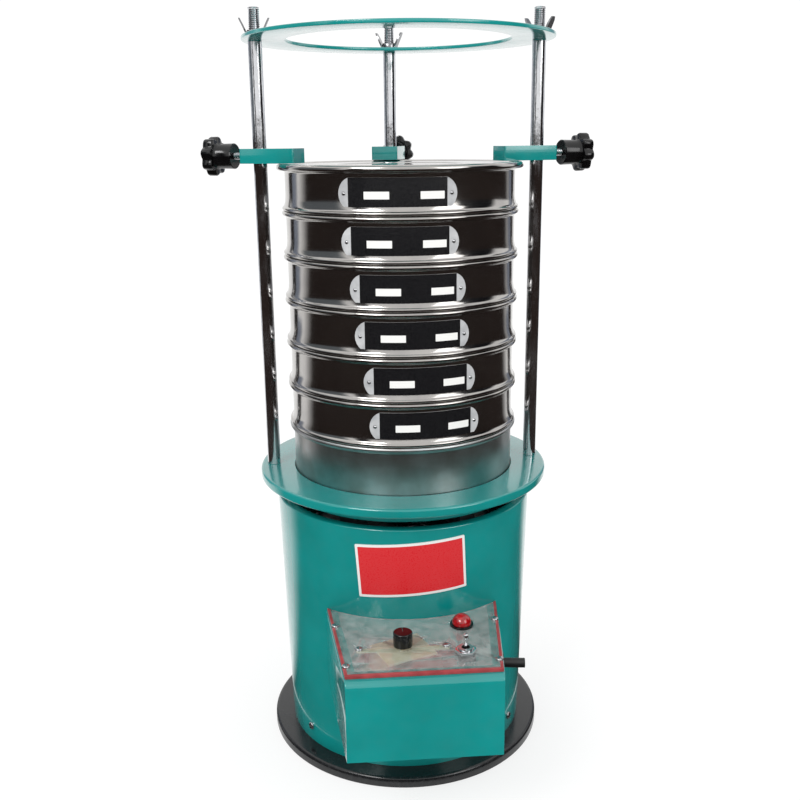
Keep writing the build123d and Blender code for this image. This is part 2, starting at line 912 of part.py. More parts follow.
# Bolts that hold the motor's flange to the table
def make_motor_bolts():
    head_top = hub_bottom - motor_flange_thickness
    with BuildPart() as motor_bolts:
        with BuildSketch(Plane.XY.offset(head_top)):
            with PolarLocations(motor_bolt_circle, motor_legs):
                RegularPolygon(motor_bolt_flats / 2, 6, major_radius=False)
        extrude(amount=-motor_bolt_head)
        with BuildSketch(Plane.XY.offset(head_top)):
            with PolarLocations(motor_bolt_circle, motor_legs):
                Circle(motor_bolt_radius)
        extrude(amount=motor_bolt_grip)
    return motor_bolts


# Rotor core on its shaft
def make_rotor_shaft():
    core_bottom = motor_foot + (motor_length - motor_collar_thickness - stator_length) / 2
    with BuildPart() as rotor_shaft:
        with BuildSketch(Plane.XY.offset(shaft_bottom)):
            Circle(shaft_radius)
        extrude(amount=shaft_top - shaft_bottom)
        with BuildSketch(Plane.XY.offset(core_bottom)):
            Circle(stator_inner_radius - air_gap)
        extrude(amount=stator_length)
    return rotor_shaft


# Eccentric weight: half a disc with a clamping hub
def make_weight(bottom, phase):
    with BuildPart() as weight:
        with BuildSketch(upright_plane(0, 0, bottom, phase)):
            with BuildLine():
                ThreePointArc((0, -weight_radius), (weight_radius, 0), (0, weight_radius))
                Line((0, weight_radius), (0, -weight_radius))
            make_face()
            Circle(weight_hub_radius)
            Circle(shaft_radius + thread_fit, mode=Mode.SUBTRACT)
        extrude(amount=weight_thickness)
    return weight


# Control box: bent sheet with a turned-in top flange, cut to the casing at its back
def make_control_box():
    drum_depth = box_back - 3 * casing_rim_width
    with BuildPart() as cavity:
        with BuildSketch(Plane.XY.offset(box_bottom + box_sheet)):
            Polygon(*box_outline(box_sheet, drum_depth), align=None)
        extrude(amount=box_height - 2 * box_sheet)
        front_edge = cavity.edges().filter_by(Axis.X).group_by(Axis.Y)[0].sort_by(Axis.Z)[-1]
        fillet(front_edge, radius=box_front_round - box_sheet)
        with BuildSketch(Plane.XY.offset(box_bottom + box_sheet)):
            Polygon(*cover_outline(box_flange_width), align=None)
        extrude(amount=box_height)
    with BuildPart() as drum:
        with BuildSketch(Plane.XZ):
            with BuildLine():
                Polyline(
                    (0, base_top),
                    (casing_foot_radius + seat_gap, base_top),
                    (casing_top_radius + seat_gap, casing_top),
                    (0, casing_top),
                    close=True,
                )
            make_face()
        revolve(axis=Axis.Z)
    with BuildPart() as control_box:
        with BuildSketch(Plane.XY.offset(box_bottom)):
            Polygon(*box_outline(0, drum_depth), align=None)
        extrude(amount=box_height)
        top_edges = control_box.faces().sort_by(Axis.Z)[-1].edges()
        front_edge = top_edges.sort_by(Axis.Y)[0]
        fillet(front_edge, radius=box_front_round)
        side_edges = control_box.faces().sort_by(Axis.Z)[-1].edges().group_by(Axis.X)
        fillet(side_edges[0] + side_edges[-1], radius=box_side_round)
        add(cavity.part, mode=Mode.SUBTRACT)
        add(drum.part, mode=Mode.SUBTRACT)
        with BuildSketch(Plane.XY.offset(box_top)):
            with Locations(cover_screw_points()[:4]):
                Circle(cover_screw_radius + screw_hole_play)
        extrude(amount=-2 * box_sheet, mode=Mode.SUBTRACT)
        with BuildSketch(bush_plane()):
            Circle(bush_neck_radius + screw_hole_play)
        extrude(amount=-2 * box_sheet, mode=Mode.SUBTRACT)
    return control_box


def bush_plane():
    """Plane on the box's right-hand wall, facing outwards, where the cable bush sits."""
    lean = degrees(atan2(box_back_half_width - box_front_half_width, box_front - box_back))
    outward = Vector(cos(radians(lean)), -sin(radians(lean)), 0)
    origin = Vector(box_half_width(-bush_y), bush_y, box_bottom + bush_height)
    return Plane(origin=origin, x_dir=(0, 0, 1), z_dir=outward)


def casing_clearance():
    """Upright cylinder that takes in the casing and a gap, through the cover's thickness."""
    with BuildPart() as clearance:
        with BuildSketch(Plane.XY.offset(box_top)):
            Circle(casing_radius(cover_top) + cover_casing_gap)
        extrude(amount=cover_thickness)
    return clearance


# Clear cover sheet with the holes for screws, timer, switch and lamp
def make_clear_cover():
    clearance = casing_clearance()
    with BuildPart() as clear_cover:
        with BuildSketch(Plane.XY.offset(box_top)):
            Polygon(*cover_outline(cover_margin + edging_width), align=None)
            with Locations(cover_screw_points()):
                Circle(cover_screw_radius + screw_hole_play, mode=Mode.SUBTRACT)
            with Locations((timer_x, timer_y)):
                Circle(timer_bush_radius + screw_hole_play, mode=Mode.SUBTRACT)
            with Locations((switch_x, switch_y)):
                Circle(switch_collar_radius + screw_hole_play, mode=Mode.SUBTRACT)
            with Locations((lamp_x, lamp_y)):
                Circle(lamp_barrel_radius + screw_hole_play, mode=Mode.SUBTRACT)
        extrude(amount=cover_thickness)
        add(clearance.part, mode=Mode.SUBTRACT)
    return clear_cover


# Coloured edging along the sides and front of the cover
def make_cover_edging():
    clearance = casing_clearance()
    with BuildPart() as cover_edging:
        with BuildSketch(Plane.XY.offset(box_top)):
            Polygon(*cover_outline(cover_margin), align=None)
            Polygon(*cover_outline(cover_margin + edging_width), align=None, mode=Mode.SUBTRACT)
            with Locations(cover_screw_points()[:4]):
                Circle(cover_screw_radius + screw_hole_play, mode=Mode.SUBTRACT)
        extrude(amount=cover_thickness)
        add(clearance.part, mode=Mode.SUBTRACT)
    return cover_edging


# Screws that hold the cover and the timer
def make_cover_screws():
    screws = [
        pan_head_screw(
            upright_plane(x, y, cover_top),
            cover_screw_head_radius,
            cover_screw_head_height,
            cover_screw_radius,
            cover_screw_length,
        )
        for x, y in cover_screw_points()
    ]
    with BuildPart() as cover_screws:
        add([screw.part for screw in screws])
    return cover_screws


# Timer body between its two side plates, with ears for its screws and a bush for its shaft
def make_timer_body():
    place = upright_plane(timer_x, timer_y, box_top, timer_turn)
    ears = upright_plane(timer_x, timer_y, box_top)
    with BuildPart() as timer_body:
        with BuildSketch(place):
            Rectangle(timer_width, timer_depth)
        extrude(amount=-timer_height)
        with BuildSketch(ears):
            SlotCenterToCenter(timer_screw_spacing, 4 * cover_screw_radius)
        extrude(amount=-timer_plate)
        with BuildSketch(place):
            Circle(timer_bush_radius)
        extrude(amount=cover_thickness + timer_bush_rise)
        with BuildSketch(ears):
            with Locations((-timer_screw_spacing / 2, 0), (timer_screw_spacing / 2, 0)):
                Circle(cover_screw_radius + thread_fit)
        extrude(amount=-timer_plate, mode=Mode.SUBTRACT)
        with BuildSketch(place.offset(cover_thickness + timer_bush_rise)):
            Circle(timer_shaft_radius + running_fit)
        extrude(amount=-timer_shaft_depth - travel_gap, mode=Mode.SUBTRACT)
    return timer_body


# Side plates of the timer
def make_timer_plates():
    place = upright_plane(timer_x, timer_y, box_top - timer_plate, timer_turn)
    offset = (timer_depth + timer_plate) / 2 + seat_gap / 2
    with BuildPart() as timer_plates:
        with BuildSketch(place):
            with Locations((0, offset), (0, -offset)):
                Rectangle(timer_width + 2 * timer_plate_overhang, timer_plate)
        extrude(amount=-timer_height)
    return timer_plates


# Timer knob with its shaft
def make_timer_knob():
    bush_top = cover_top + timer_bush_rise
    with BuildPart() as timer_knob:
        with BuildSketch(upright_plane(timer_x, timer_y, bush_top + travel_gap)):
            Circle(timer_knob_radius)
        extrude(amount=timer_knob_height)
        rim = timer_knob.faces().sort_by(Axis.Z)[-1].edges()
        fillet(rim, radius=timer_knob_round)
        with BuildSketch(upright_plane(timer_x, timer_y, bush_top - timer_shaft_depth)):
            Circle(timer_shaft_radius)
        extrude(amount=timer_shaft_depth + travel_gap)
        with BuildSketch(upright_plane(timer_x, timer_y, bush_top + travel_gap + timer_knob_height)):
            with Locations((0, timer_knob_radius / 2)):
                Rectangle(slot_width, timer_knob_radius)
        extrude(amount=-slot_depth, mode=Mode.SUBTRACT)
    return timer_knob


# Toggle switch body with its threaded collar
def make_switch_body():
    collar_top = cover_top + switch_collar_rise
    with BuildPart() as switch_body:
        with BuildSketch(upright_plane(switch_x, switch_y, box_top)):
            Rectangle(switch_width, switch_depth)
        extrude(amount=-switch_height)
        with BuildSketch(upright_plane(switch_x, switch_y, box_top)):
            Circle(switch_collar_radius)
        extrude(amount=collar_top - box_top)
        with BuildSketch(upright_plane(switch_x, switch_y, collar_top)):
            Circle(switch_bore_radius)
        extrude(amount=-switch_bore_depth - lever_ball_radius, mode=Mode.SUBTRACT)
    return switch_body


# Ring nut on the switch collar
def make_switch_nut():
    with BuildPart() as switch_nut:
        with BuildSketch(upright_plane(switch_x, switch_y, cover_top)):
            RegularPolygon(switch_nut_radius, 6)
            Circle(switch_collar_radius + thread_fit, mode=Mode.SUBTRACT)
        extrude(amount=switch_nut_height)
    return switch_nut


# Bat lever that rocks on a ball inside the collar
def make_switch_lever():
    pivot = cover_top - lever_pivot_below_cover
    with BuildPart() as switch_lever:
        with BuildSketch(Plane(origin=(switch_x, switch_y, pivot), x_dir=(1, 0, 0), z_dir=(0, -1, 0))):
            with BuildLine():
                ThreePointArc(
                    (0, -lever_ball_radius), (lever_ball_radius, 0), (lever_neck_radius, lever_ball_radius * 0.93)
                )
                Line((lever_neck_radius, lever_ball_radius * 0.93), (lever_tip_radius, lever_length))
                RadiusArc((lever_tip_radius, lever_length), (0, lever_length + lever_tip_radius), -lever_tip_radius)
                Line((0, lever_length + lever_tip_radius), (0, -lever_ball_radius))
            make_face()
        revolve(axis=Axis((switch_x, switch_y, pivot), (0, 0, 1)))
    return switch_lever


# Lamp holder: a flange on the cover and a barrel below it
def make_lamp_body():
    with BuildPart() as lamp_body:
        with BuildSketch(upright_plane(lamp_x, lamp_y, cover_top)):
            Circle(lamp_flange_radius)
        extrude(amount=lamp_flange_thickness)
        with BuildSketch(upright_plane(lamp_x, lamp_y, cover_top)):
            Circle(lamp_barrel_radius)
        extrude(amount=-lamp_barrel_length)
    return lamp_body


# Domed lens of the lamp
def make_lamp_lens():
    foot = cover_top + lamp_flange_thickness
    dome_height = lens_height - lens_skirt
    dome_radius = (lens_radius**2 + dome_height**2) / (2 * dome_height)
    with BuildPart() as lamp_lens:
        with BuildSketch(Plane(origin=(lamp_x, lamp_y, foot), x_dir=(1, 0, 0), z_dir=(0, -1, 0))):
            with BuildLine():
                Line((0, 0), (lens_radius, 0))
                Line((lens_radius, 0), (lens_radius, lens_height - dome_height))
                RadiusArc((lens_radius, lens_height - dome_height), (0, lens_height), -dome_radius)
                Line((0, lens_height), (0, 0))
            make_face()
        revolve(axis=Axis((lamp_x, lamp_y, foot), (0, 0, 1)))
    return lamp_lens


# Motor capacitor that lies on the box floor
def make_run_capacitor():
    centre = Vector(capacitor_x, capacitor_y, box_bottom + box_sheet + capacitor_radius)
    with BuildPart() as run_capacitor:
        with BuildSketch(Plane(origin=centre, x_dir=(0, 1, 0), z_dir=(1, 0, 0))):
            Circle(capacitor_radius)
        extrude(amount=capacitor_length / 2, both=True)
    return run_capacitor


# Terminal block with its separate clamps
def make_terminal_block():
    floor = box_bottom + box_sheet
    pitch = terminal_width / terminal_count
    with BuildPart() as terminal_block:
        with BuildSketch(upright_plane(terminal_x, terminal_y, floor)):
            Rectangle(terminal_width, terminal_depth)
        extrude(amount=terminal_base)
        with BuildSketch(upright_plane(terminal_x, terminal_y, floor)):
            with GridLocations(pitch, 0, terminal_count, 1):
                Rectangle(pitch - terminal_gap, terminal_depth - 2 * terminal_gap)
        extrude(amount=terminal_height)
    return terminal_block


# Hollow rubber bush for the supply cable
def make_cable_bush():
    with BuildPart() as cable_bush:
        with BuildSketch(bush_plane()):
            Circle(bush_flange_radius)
        extrude(amount=bush_flange_thickness)
        with BuildSketch(bush_plane()):
            Circle(bush_tube_radius)
        extrude(amount=bush_flange_thickness + bush_tube_length)
        with BuildSketch(bush_plane()):
            Circle(bush_neck_radius)
        extrude(amount=-box_sheet)
        with BuildSketch(bush_plane().offset(-box_sheet)):
            Circle(bush_bead_radius)
        extrude(amount=-bush_bead_length)
        with BuildSketch(bush_plane().offset(bush_flange_thickness + bush_tube_length)):
            Circle(bush_bore_radius)
        whole_length = bush_tube_length + bush_flange_thickness + box_sheet + bush_bead_length
        extrude(amount=-whole_length, mode=Mode.SUBTRACT)
    return cable_bush


# Label plate, bent to the casing
def make_label_plate():
    spread = label_width
    with BuildPart() as label_plate:
        with BuildSketch(Plane.XZ):
            with BuildLine():
                low = label_centre - spread
                high = label_centre + spread
                Polyline(
                    (casing_radius(low) + seat_gap / 2, low),
                    (casing_radius(low) + seat_gap / 2 + label_thickness, low),
                    (casing_radius(high) + seat_gap / 2 + label_thickness, high),
                    (casing_radius(high) + seat_gap / 2, high),
                    close=True,
                )
            make_face()
        revolve(axis=Axis.Z)
        with BuildSketch(radial_plane(0, label_angle, base_top + label_centre).rotated((0, 0, label_lean))):
            RectangleRounded(label_width, label_height, label_corner_round)
        extrude(amount=2 * casing_top_radius, mode=Mode.INTERSECT)
    return label_plate


pieces = {
    "base_plate": make_base_plate(),
    "casing": make_casing(),
    "foot_screws": make_foot_screws(),
    "spring_shelf": make_spring_shelf(),
    "springs": make_springs(),
    "table_plate": make_table(),
    "posts": make_posts(),
    "post_nuts": make_post_nuts(),
    "top_ring": make_top_ring(),
    "motor_housing": make_motor_housing(),
    "motor_stator": make_motor_stator(),
    "motor_lower_bell": make_motor_lower_bell(),
    "motor_bearings": make_motor_bearings(),
    "motor_bolts": make_motor_bolts(),
    "rotor_shaft": make_rotor_shaft(),
    "upper_weight": make_weight(upper_weight_bottom, 0),
    "lower_weight": make_weight(lower_weight_bottom, lower_weight_phase),
    "pan": make_pan(),
    "lid": make_lid(),
    "control_box": make_control_box(),
    "clear_cover": make_clear_cover(),
    "cover_edging": make_cover_edging(),
    "cover_screws": make_cover_screws(),
    "timer_body": make_timer_body(),
    "timer_plates": make_timer_plates(),
    "timer_knob": make_timer_knob(),
    "switch_body": make_switch_body(),
    "switch_nut": make_switch_nut(),
    "switch_lever": make_switch_lever(),
    "lamp_body": make_lamp_body(),
    "lamp_lens": make_lamp_lens(),
    "run_capacitor": make_run_capacitor(),
    "terminal_block": make_terminal_block(),
    "cable_bush": make_cable_bush(),
    "label_plate": make_label_plate(),
}
for index, side in enumerate(("left", "right", "rear")):
    pieces[f"{side}_clamp_arm"] = make_clamp_arm(index)
    pieces[f"{side}_clamp_screw"] = make_clamp_screw(index)
    pieces[f"{side}_clamp_knob"] = make_clamp_knob(index)
    pieces[f"{side}_wing_nut"] = make_wing_nut(index)
for number in range(1, sieve_count + 1):
    seat = stack_top - number * sieve_pitch
    pieces[f"sieve_{number}_frame"] = make_sieve_frame(seat)
    pieces[f"sieve_{number}_cloth"] = make_sieve_cloth(seat)

for name, piece in pieces.items():
    piece.part.label = name
    export_step(piece.part, f"parts/{name}.step")
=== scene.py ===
import json
from collections import namedtuple
from math import asin, atan2, cos, degrees, pi, radians, sin

import bmesh
import bpy
from mathutils import Matrix, Vector


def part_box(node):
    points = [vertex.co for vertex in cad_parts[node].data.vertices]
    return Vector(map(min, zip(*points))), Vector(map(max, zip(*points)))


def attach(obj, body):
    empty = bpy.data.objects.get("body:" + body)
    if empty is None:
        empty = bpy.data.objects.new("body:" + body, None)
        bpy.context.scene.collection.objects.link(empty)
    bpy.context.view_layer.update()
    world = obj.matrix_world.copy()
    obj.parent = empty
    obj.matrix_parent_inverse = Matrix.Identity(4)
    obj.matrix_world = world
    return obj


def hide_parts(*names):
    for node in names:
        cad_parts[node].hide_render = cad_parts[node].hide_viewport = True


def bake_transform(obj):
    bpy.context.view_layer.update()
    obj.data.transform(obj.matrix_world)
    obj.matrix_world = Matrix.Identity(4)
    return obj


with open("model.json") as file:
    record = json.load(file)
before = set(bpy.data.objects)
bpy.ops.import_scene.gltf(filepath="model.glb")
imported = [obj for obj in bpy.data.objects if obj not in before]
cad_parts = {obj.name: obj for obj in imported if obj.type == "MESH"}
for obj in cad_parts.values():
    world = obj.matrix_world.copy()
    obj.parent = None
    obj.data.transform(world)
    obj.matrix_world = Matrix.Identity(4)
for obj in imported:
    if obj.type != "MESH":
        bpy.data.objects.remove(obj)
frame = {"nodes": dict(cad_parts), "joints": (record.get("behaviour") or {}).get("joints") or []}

bl_info = {
    "name": "Sieve Shaker Looks",
    "version": (1, 0, 0),
    "blender": (4, 5, 0),
    "location": "View3D > Sidebar > Shaker",
    "description": "Finished surfaces and fine pieces of a bench sieve shaker",
    "category": "Object",
}

MM = 0.001
SIDES = ("left", "right", "rear")
SIEVE_COUNT = sum(1 for node in frame["nodes"] if node.startswith("sieve_") and node.endswith("_frame"))
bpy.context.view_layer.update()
BASE_PLATE_TOP = 10.0
UP = Vector((0, 0, 1))


# Reading places and sizes from the frame

boxes = {}


def box(node):
    """Lowest and highest corner of a node, in millimetres, read once."""
    if node not in boxes:
        boxes[node] = tuple(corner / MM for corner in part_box(node))
    return boxes[node]


def low(node):
    """Lowest corner of a node's box, in millimetres."""
    return box(node)[0]


def high(node):
    """Highest corner of a node's box, in millimetres."""
    return box(node)[1]


def middle(node):
    """Centre of a node's box, in millimetres."""
    return (low(node) + high(node)) / 2


def joint(name):
    """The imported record's entry for one joint."""
    return next(entry for entry in frame["joints"] if entry["name"] == name)


# Colours and materials

def srgb(code):
    """Linear colour with alpha from a hex code."""
    channels = [int(code[i : i + 2], 16) / 255 for i in (1, 3, 5)]
    linear = [c / 12.92 if c <= 0.04045 else ((c + 0.055) / 1.055) ** 2.4 for c in channels]
    return (*linear, 1.0)


def colour_of(value):
    """Linear colour from a hex code, or from the scene's colour setting of that name."""
    return srgb(value) if value.startswith("#") else tuple(getattr(bpy.context.scene.shaker_colours, value))


def add_node(tree, kind, settings=None, **inputs):
    """One node with its settings, values and links; a node given as a value links its first output."""
    node = tree.nodes.new(kind)
    for key, value in (settings or {}).items():
        setattr(node, key, value)
    for key, value in inputs.items():
        socket = node.inputs[int(key[1:])] if key[1:].isdigit() else node.inputs[key.replace("_", " ")]
        if isinstance(value, bpy.types.Node):
            value = value.outputs[0]
        if isinstance(value, bpy.types.NodeSocket):
            tree.links.new(value, socket)
        else:
            socket.default_value = value
    return node


def new_material(name):
    """Empty node material and its tree."""
    material = bpy.data.materials.new(name)
    material.use_nodes = True
    material.node_tree.nodes.clear()
    return material, material.node_tree


# A noise: the size of its blotches in millimetres, its detail and roughness, and its stretch along each axis
Grain = namedtuple("Grain", "size detail roughness stretch", defaults=(3.0, 0.5, (1.0, 1.0, 1.0)))


def grain_pattern(tree, grain, start=None, end=None, from_low=0.3, from_high=0.7):
    """Value of a grain on Object coordinates, spread from its usual range to start and end if given."""
    place = add_node(tree, "ShaderNodeTexCoord").outputs["Object"]
    scale = [axis / MM for axis in grain.stretch]
    value = add_node(
        tree,
        "ShaderNodeTexNoise",
        {"noise_dimensions": "3D"},
        Vector=add_node(tree, "ShaderNodeMapping", i0=place, Scale=scale),
        Scale=1 / grain.size,
        Detail=grain.detail,
        Roughness=grain.roughness,
    ).outputs["Fac"]
    if start is None:
        return value
    return add_node(tree, "ShaderNodeMapRange", i0=value, i1=from_low, i2=from_high, i3=start, i4=end)


def grained(name, tint, sheen, skin, **sockets):
    """Material whose colour, roughness and relief each follow a grain, with its other sockets as given.

    tint is a grain, its spread and two colours; sheen is a grain and the roughness between which it varies;
    skin is a grain, the strength of its relief and its height in millimetres.
    """
    material, tree = new_material(name)
    if tint:
        grain, spread, first, second = tint
        share = grain_pattern(tree, grain, *spread)
        mix = add_node(tree, "ShaderNodeMix", {"data_type": "RGBA"}, i0=share, i6=first, i7=second)
        sockets["Base_Color"] = mix.outputs[2]
    if sheen:
        sockets["Roughness"] = grain_pattern(tree, sheen[0], *sheen[1])
    height = grain_pattern(tree, skin[0])
    relief = add_node(tree, "ShaderNodeBump", Strength=skin[1], Distance=skin[2] * MM, Height=height)
    surface = add_node(tree, "ShaderNodeBsdfPrincipled", Normal=relief, **sockets)
    add_node(tree, "ShaderNodeOutputMaterial", Surface=surface)
    return material


EVEN = (0.0, 1.0)


def gloss_enamel(name, colour, shade, peel=0.12):
    """Sprayed gloss enamel: even colour in faint clouds, wet shine, orange peel a few millimetres across."""
    tint = (Grain(60.0), EVEN, colour_of(colour), colour_of(shade))
    smears = (Grain(9.0, 4.0), (0.16, 0.26))
    skin = (Grain(3.0, 1.0), peel, 0.05)
    return grained(name, tint, smears, skin, IOR=1.5, Coat_Weight=0.8, Coat_Roughness=0.04)


def mottled_enamel(name):
    """Black stove enamel on the base plate: gloss with dust, scuffs and a mottled bloom."""
    dust = Grain(3.2, 5.0, 0.65)
    tint = (dust, (0.0, 0.35, 0.5, 0.8), colour_of("#191a1c"), colour_of("#46484b"))
    return grained(name, tint, (Grain(28.0), (0.14, 0.3)), (dust, 0.2, 0.06), IOR=1.5)


def spun_steel(name, colour="#b9b6b2", rough=(0.10, 0.17), rings=0.10):
    """Spun and polished stainless sheet: mirror bright, with fine turning lines round the axis."""
    turning = Grain(0.35, 4.0, 0.6, (0.02, 0.02, 1.0))
    tint = (Grain(25.0), EVEN, colour_of(colour), colour_of("#a9a6a4"))
    return grained(name, tint, (turning, rough), (turning, rings, 0.02), Metallic=1.0)


def chrome_plate(name):
    """Bright chromium on ground bar: a near mirror with a little pitting and a few dull smears."""
    ground = (1.0, 1.0, 0.35)
    smears = (Grain(14.0, 4.0, 0.5, ground), (0.05, 0.2))
    waves = (Grain(5.0, 3.0, 0.6, ground), 0.5, 0.3)
    return grained(name, None, smears, waves, Base_Color=colour_of("#dcdde0"), Metallic=1.0)


def bare_metal(name, colour, rough, grain=1.2, relief=0.15):
    """Plain turned, cast or plated metal with a fine all-over grain."""
    speckle = Grain(grain)
    tint = (speckle, (0.0, 0.35), colour_of(colour), colour_of("#5a5b5e"))
    return grained(name, tint, (speckle, (rough * 0.8, rough * 1.25)), (speckle, relief, 0.05), Metallic=1.0)


def soft_sheen(name, colour, worn, rough, grain=0.8, relief=0.12):
    """Moulded plastic, rubber, machine paint or lacquered sheet: soft sheen and a fine texture."""
    cloud = Grain(12.0)
    tint = (cloud, EVEN, colour_of(colour), colour_of(worn))
    skin = (Grain(grain, 2.0), relief, 0.04)
    return grained(name, tint, (cloud, (rough * 0.8, rough * 1.2)), skin, IOR=1.5)


def printed_plate(name, colour, rough=0.35):
    """Screen-printed aluminium: flat ink with a faint satin grain."""
    grain = Grain(0.9)
    tint = (grain, (0.0, 0.05), colour_of(colour), colour_of("#808080"))
    return grained(name, tint, (grain, (rough * 0.9, rough * 1.2)), (grain, 0.08, 0.03))


def glowing_red(name, colour):
    """Transparent red styrene of an indicator lens, thick enough to look deep."""
    facets = Grain(1.6, 2.0)
    tint = (facets, EVEN, colour_of(colour), colour_of("#8f0a12"))
    look = {"Roughness": 0.06, "IOR": 1.59, "Transmission_Weight": 0.25, "Coat_Weight": 0.5}
    return grained(name, tint, None, (facets, 0.1, 0.05), **look)


def clear_acrylic(name):
    """Cast acrylic sheet: clear, with a cool tint and a haze of dust, so that what lies under it shows."""
    material, tree = new_material(name)
    surface = add_node(
        tree,
        "ShaderNodeBsdfPrincipled",
        Base_Color=colour_of("#f1f5f4"),
        Roughness=grain_pattern(tree, Grain(20.0), 0.02, 0.06),
        IOR=1.49,
        Transmission_Weight=1.0,
    )
    dust = add_node(tree, "ShaderNodeBsdfDiffuse", Color=colour_of("#eef2f0"))
    haze = grain_pattern(tree, Grain(7.0, 4.0), 0.10, 0.22)
    dusty = add_node(tree, "ShaderNodeMixShader", i0=haze, i1=surface, i2=dust)
    ray = add_node(tree, "ShaderNodeLightPath").outputs
    lit = add_node(
        tree, "ShaderNodeMath", {"operation": "MAXIMUM"}, i0=ray["Is Shadow Ray"], i1=ray["Is Diffuse Ray"]
    )
    clear = add_node(tree, "ShaderNodeBsdfTransparent", Color=colour_of("#e8eeec"))
    mixed = add_node(tree, "ShaderNodeMixShader", i0=lit, i1=dusty, i2=clear)
    add_node(tree, "ShaderNodeOutputMaterial", Surface=mixed)
    return material


def woven_wire(name):
    """Woven sieve cloth: light wires over gaps painted dark as painted shade of what lies under the holes, at
    a 1 mm pitch because a finer one doesn't show.
    """
    material, tree = new_material(name)
    place = add_node(tree, "ShaderNodeTexCoord").outputs["Object"]
    scaled = add_node(tree, "ShaderNodeMapping", i0=place, Scale=[1 / MM] * 3)
    wires = []
    for way in "XY":
        bands = {"wave_type": "BANDS", "bands_direction": way, "wave_profile": "SIN"}
        wires.append(add_node(tree, "ShaderNodeTexWave", bands, Vector=scaled, Scale=0.31).outputs["Fac"])
    weave = add_node(tree, "ShaderNodeMath", {"operation": "MAXIMUM"}, i0=wires[0], i1=wires[1])
    # The gaps are holes in the real cloth: their dark #4c4943 is painted shade, while #c4c0b4 is the wires'
    # own colour
    tint = add_node(
        tree, "ShaderNodeMix", {"data_type": "RGBA"}, i0=weave, i6=srgb("#4c4943"), i7=srgb("#c4c0b4")
    ).outputs[2]
    relief = add_node(tree, "ShaderNodeBump", Strength=0.6, Distance=0.3 * MM, Height=weave)
    surface = add_node(
        tree, "ShaderNodeBsdfPrincipled", Base_Color=tint, Metallic=1.0, Roughness=0.35, Normal=relief
    )
    add_node(tree, "ShaderNodeOutputMaterial", Surface=surface)
    return material


# Each finish: the record's material slot behind it, the function that makes it, and what that is given
FINISHES = {
    "green": ("green_enamel", gloss_enamel, "green gloss enamel", "green", "green_shade"),
    "cast_green": (
        "green_casting", gloss_enamel, "green enamel on rough casting", "green", "green_shade", 0.9
    ),
    "black_base": ("base_enamel", mottled_enamel, "black stove enamel"),
    "stainless": ("stainless_sheet", spun_steel, "spun stainless steel"),
    "satin": ("stainless_sheet", spun_steel, "satin stainless steel", "#c6cbcc", (0.3, 0.42), 0.05),
    "cloth": ("sieve_cloth", woven_wire, "woven wire cloth"),
    "chrome": ("chromed_steel", chrome_plate, "chromium plate"),
    "zinc": ("zinc_steel", bare_metal, "zinc plated steel", "#c9cacc", 0.24),
    "dull_nickel": ("zinc_steel", bare_metal, "dulled nickel plate", "#8f9092", 0.2, 1.0, 0.2),
    "spring": ("spring_steel", bare_metal, "oiled spring steel", "#6c6e72", 0.3),
    "turned": ("turned_steel", bare_metal, "turned steel", "#b4b5b8", 0.28),
    "can": ("grey_can", bare_metal, "drawn aluminium can", "#c0c2c4", 0.35),
    "laminations": ("laminations", bare_metal, "varnished laminations", "#6b5040", 0.45),
    "cast": ("motor_casting", soft_sheen, "grey machine paint", "#4b5054", "#5b6064", 0.45),
    "phenolic": ("black_plastic", soft_sheen, "black phenolic moulding", "#050506", "#0c0c0d", 0.14),
    "rubber": ("black_rubber", soft_sheen, "black rubber", "#121213", "#1d1d1e", 0.5),
    "edging": ("red_edging", soft_sheen, "red vinyl edging", "#b2494b", "#8f3236", 0.35),
    "cream": ("beige_plastic", soft_sheen, "cream urea moulding", "#cdbfa0", "#b8a888", 0.4),
    "laminate": ("brown_laminate", soft_sheen, "brown phenolic laminate", "#6a4030", "#55301f", 0.4),
    "ceramic": ("white_ceramic", soft_sheen, "white moulded block", "#dcdad2", "#cac7bd", 0.45),
    "acrylic": ("clear_acrylic", clear_acrylic, "cast acrylic sheet"),
    "lens": ("red_lens", glowing_red, "red styrene lens", "#d3141d"),
    "plate_silver": (
        "stainless_sheet", soft_sheen, "lacquered plate aluminium", "#c3c4c5", "#9fa1a3", 0.3, 0.9, 0.3
    ),
    "plate_black": ("black_plastic", printed_plate, "black plate ink", "#08080c", 0.22),
    "plate_white": ("white_ceramic", printed_plate, "white plate ink", "#e9e9e6"),
    "label_red": ("red_plate", printed_plate, "red plate enamel", "label_red", 0.28),
}
materials = {}


def finish(key):
    """The material for a finish, made once."""
    if key not in materials:
        _, make, *values = FINISHES[key]
        materials[key] = make(*values)
    return materials[key]


# Making meshes

def placed(name, data):
    """Object of a mesh, light or camera, linked to the scene."""
    thing = bpy.data.objects.new(name, data)
    bpy.context.scene.collection.objects.link(thing)
    return thing


def evaluated(thing):
    """Plain mesh of an object as its modifiers make it."""
    bpy.context.view_layer.update()
    graph = bpy.context.evaluated_depsgraph_get()
    return bpy.data.meshes.new_from_object(thing.evaluated_get(graph))


def new_piece(name, mesh_data, key, body, replaces=(), angle=32.0):
    """Mesh object with its finish, smooth shading and body."""
    piece = placed(name, mesh_data)
    mesh_data.polygons.foreach_set("use_smooth", [True] * len(mesh_data.polygons))
    mesh_data.set_sharp_from_angle(angle=radians(angle))
    mesh_data.materials.clear()
    mesh_data.materials.append(finish(key))
    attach(piece, body)
    if replaces:
        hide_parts(*replaces)


def mesh_from(name, bm, matrix=None):
    """Mesh data from a bmesh given in millimetres, placed by a matrix in millimetres."""
    if matrix:
        bm.transform(matrix)
    bm.transform(Matrix.Scale(MM, 4))
    bmesh.ops.recalc_face_normals(bm, faces=bm.faces)
    mesh_data = bpy.data.meshes.new(name)
    bm.to_mesh(mesh_data)
    bm.free()
    return mesh_data


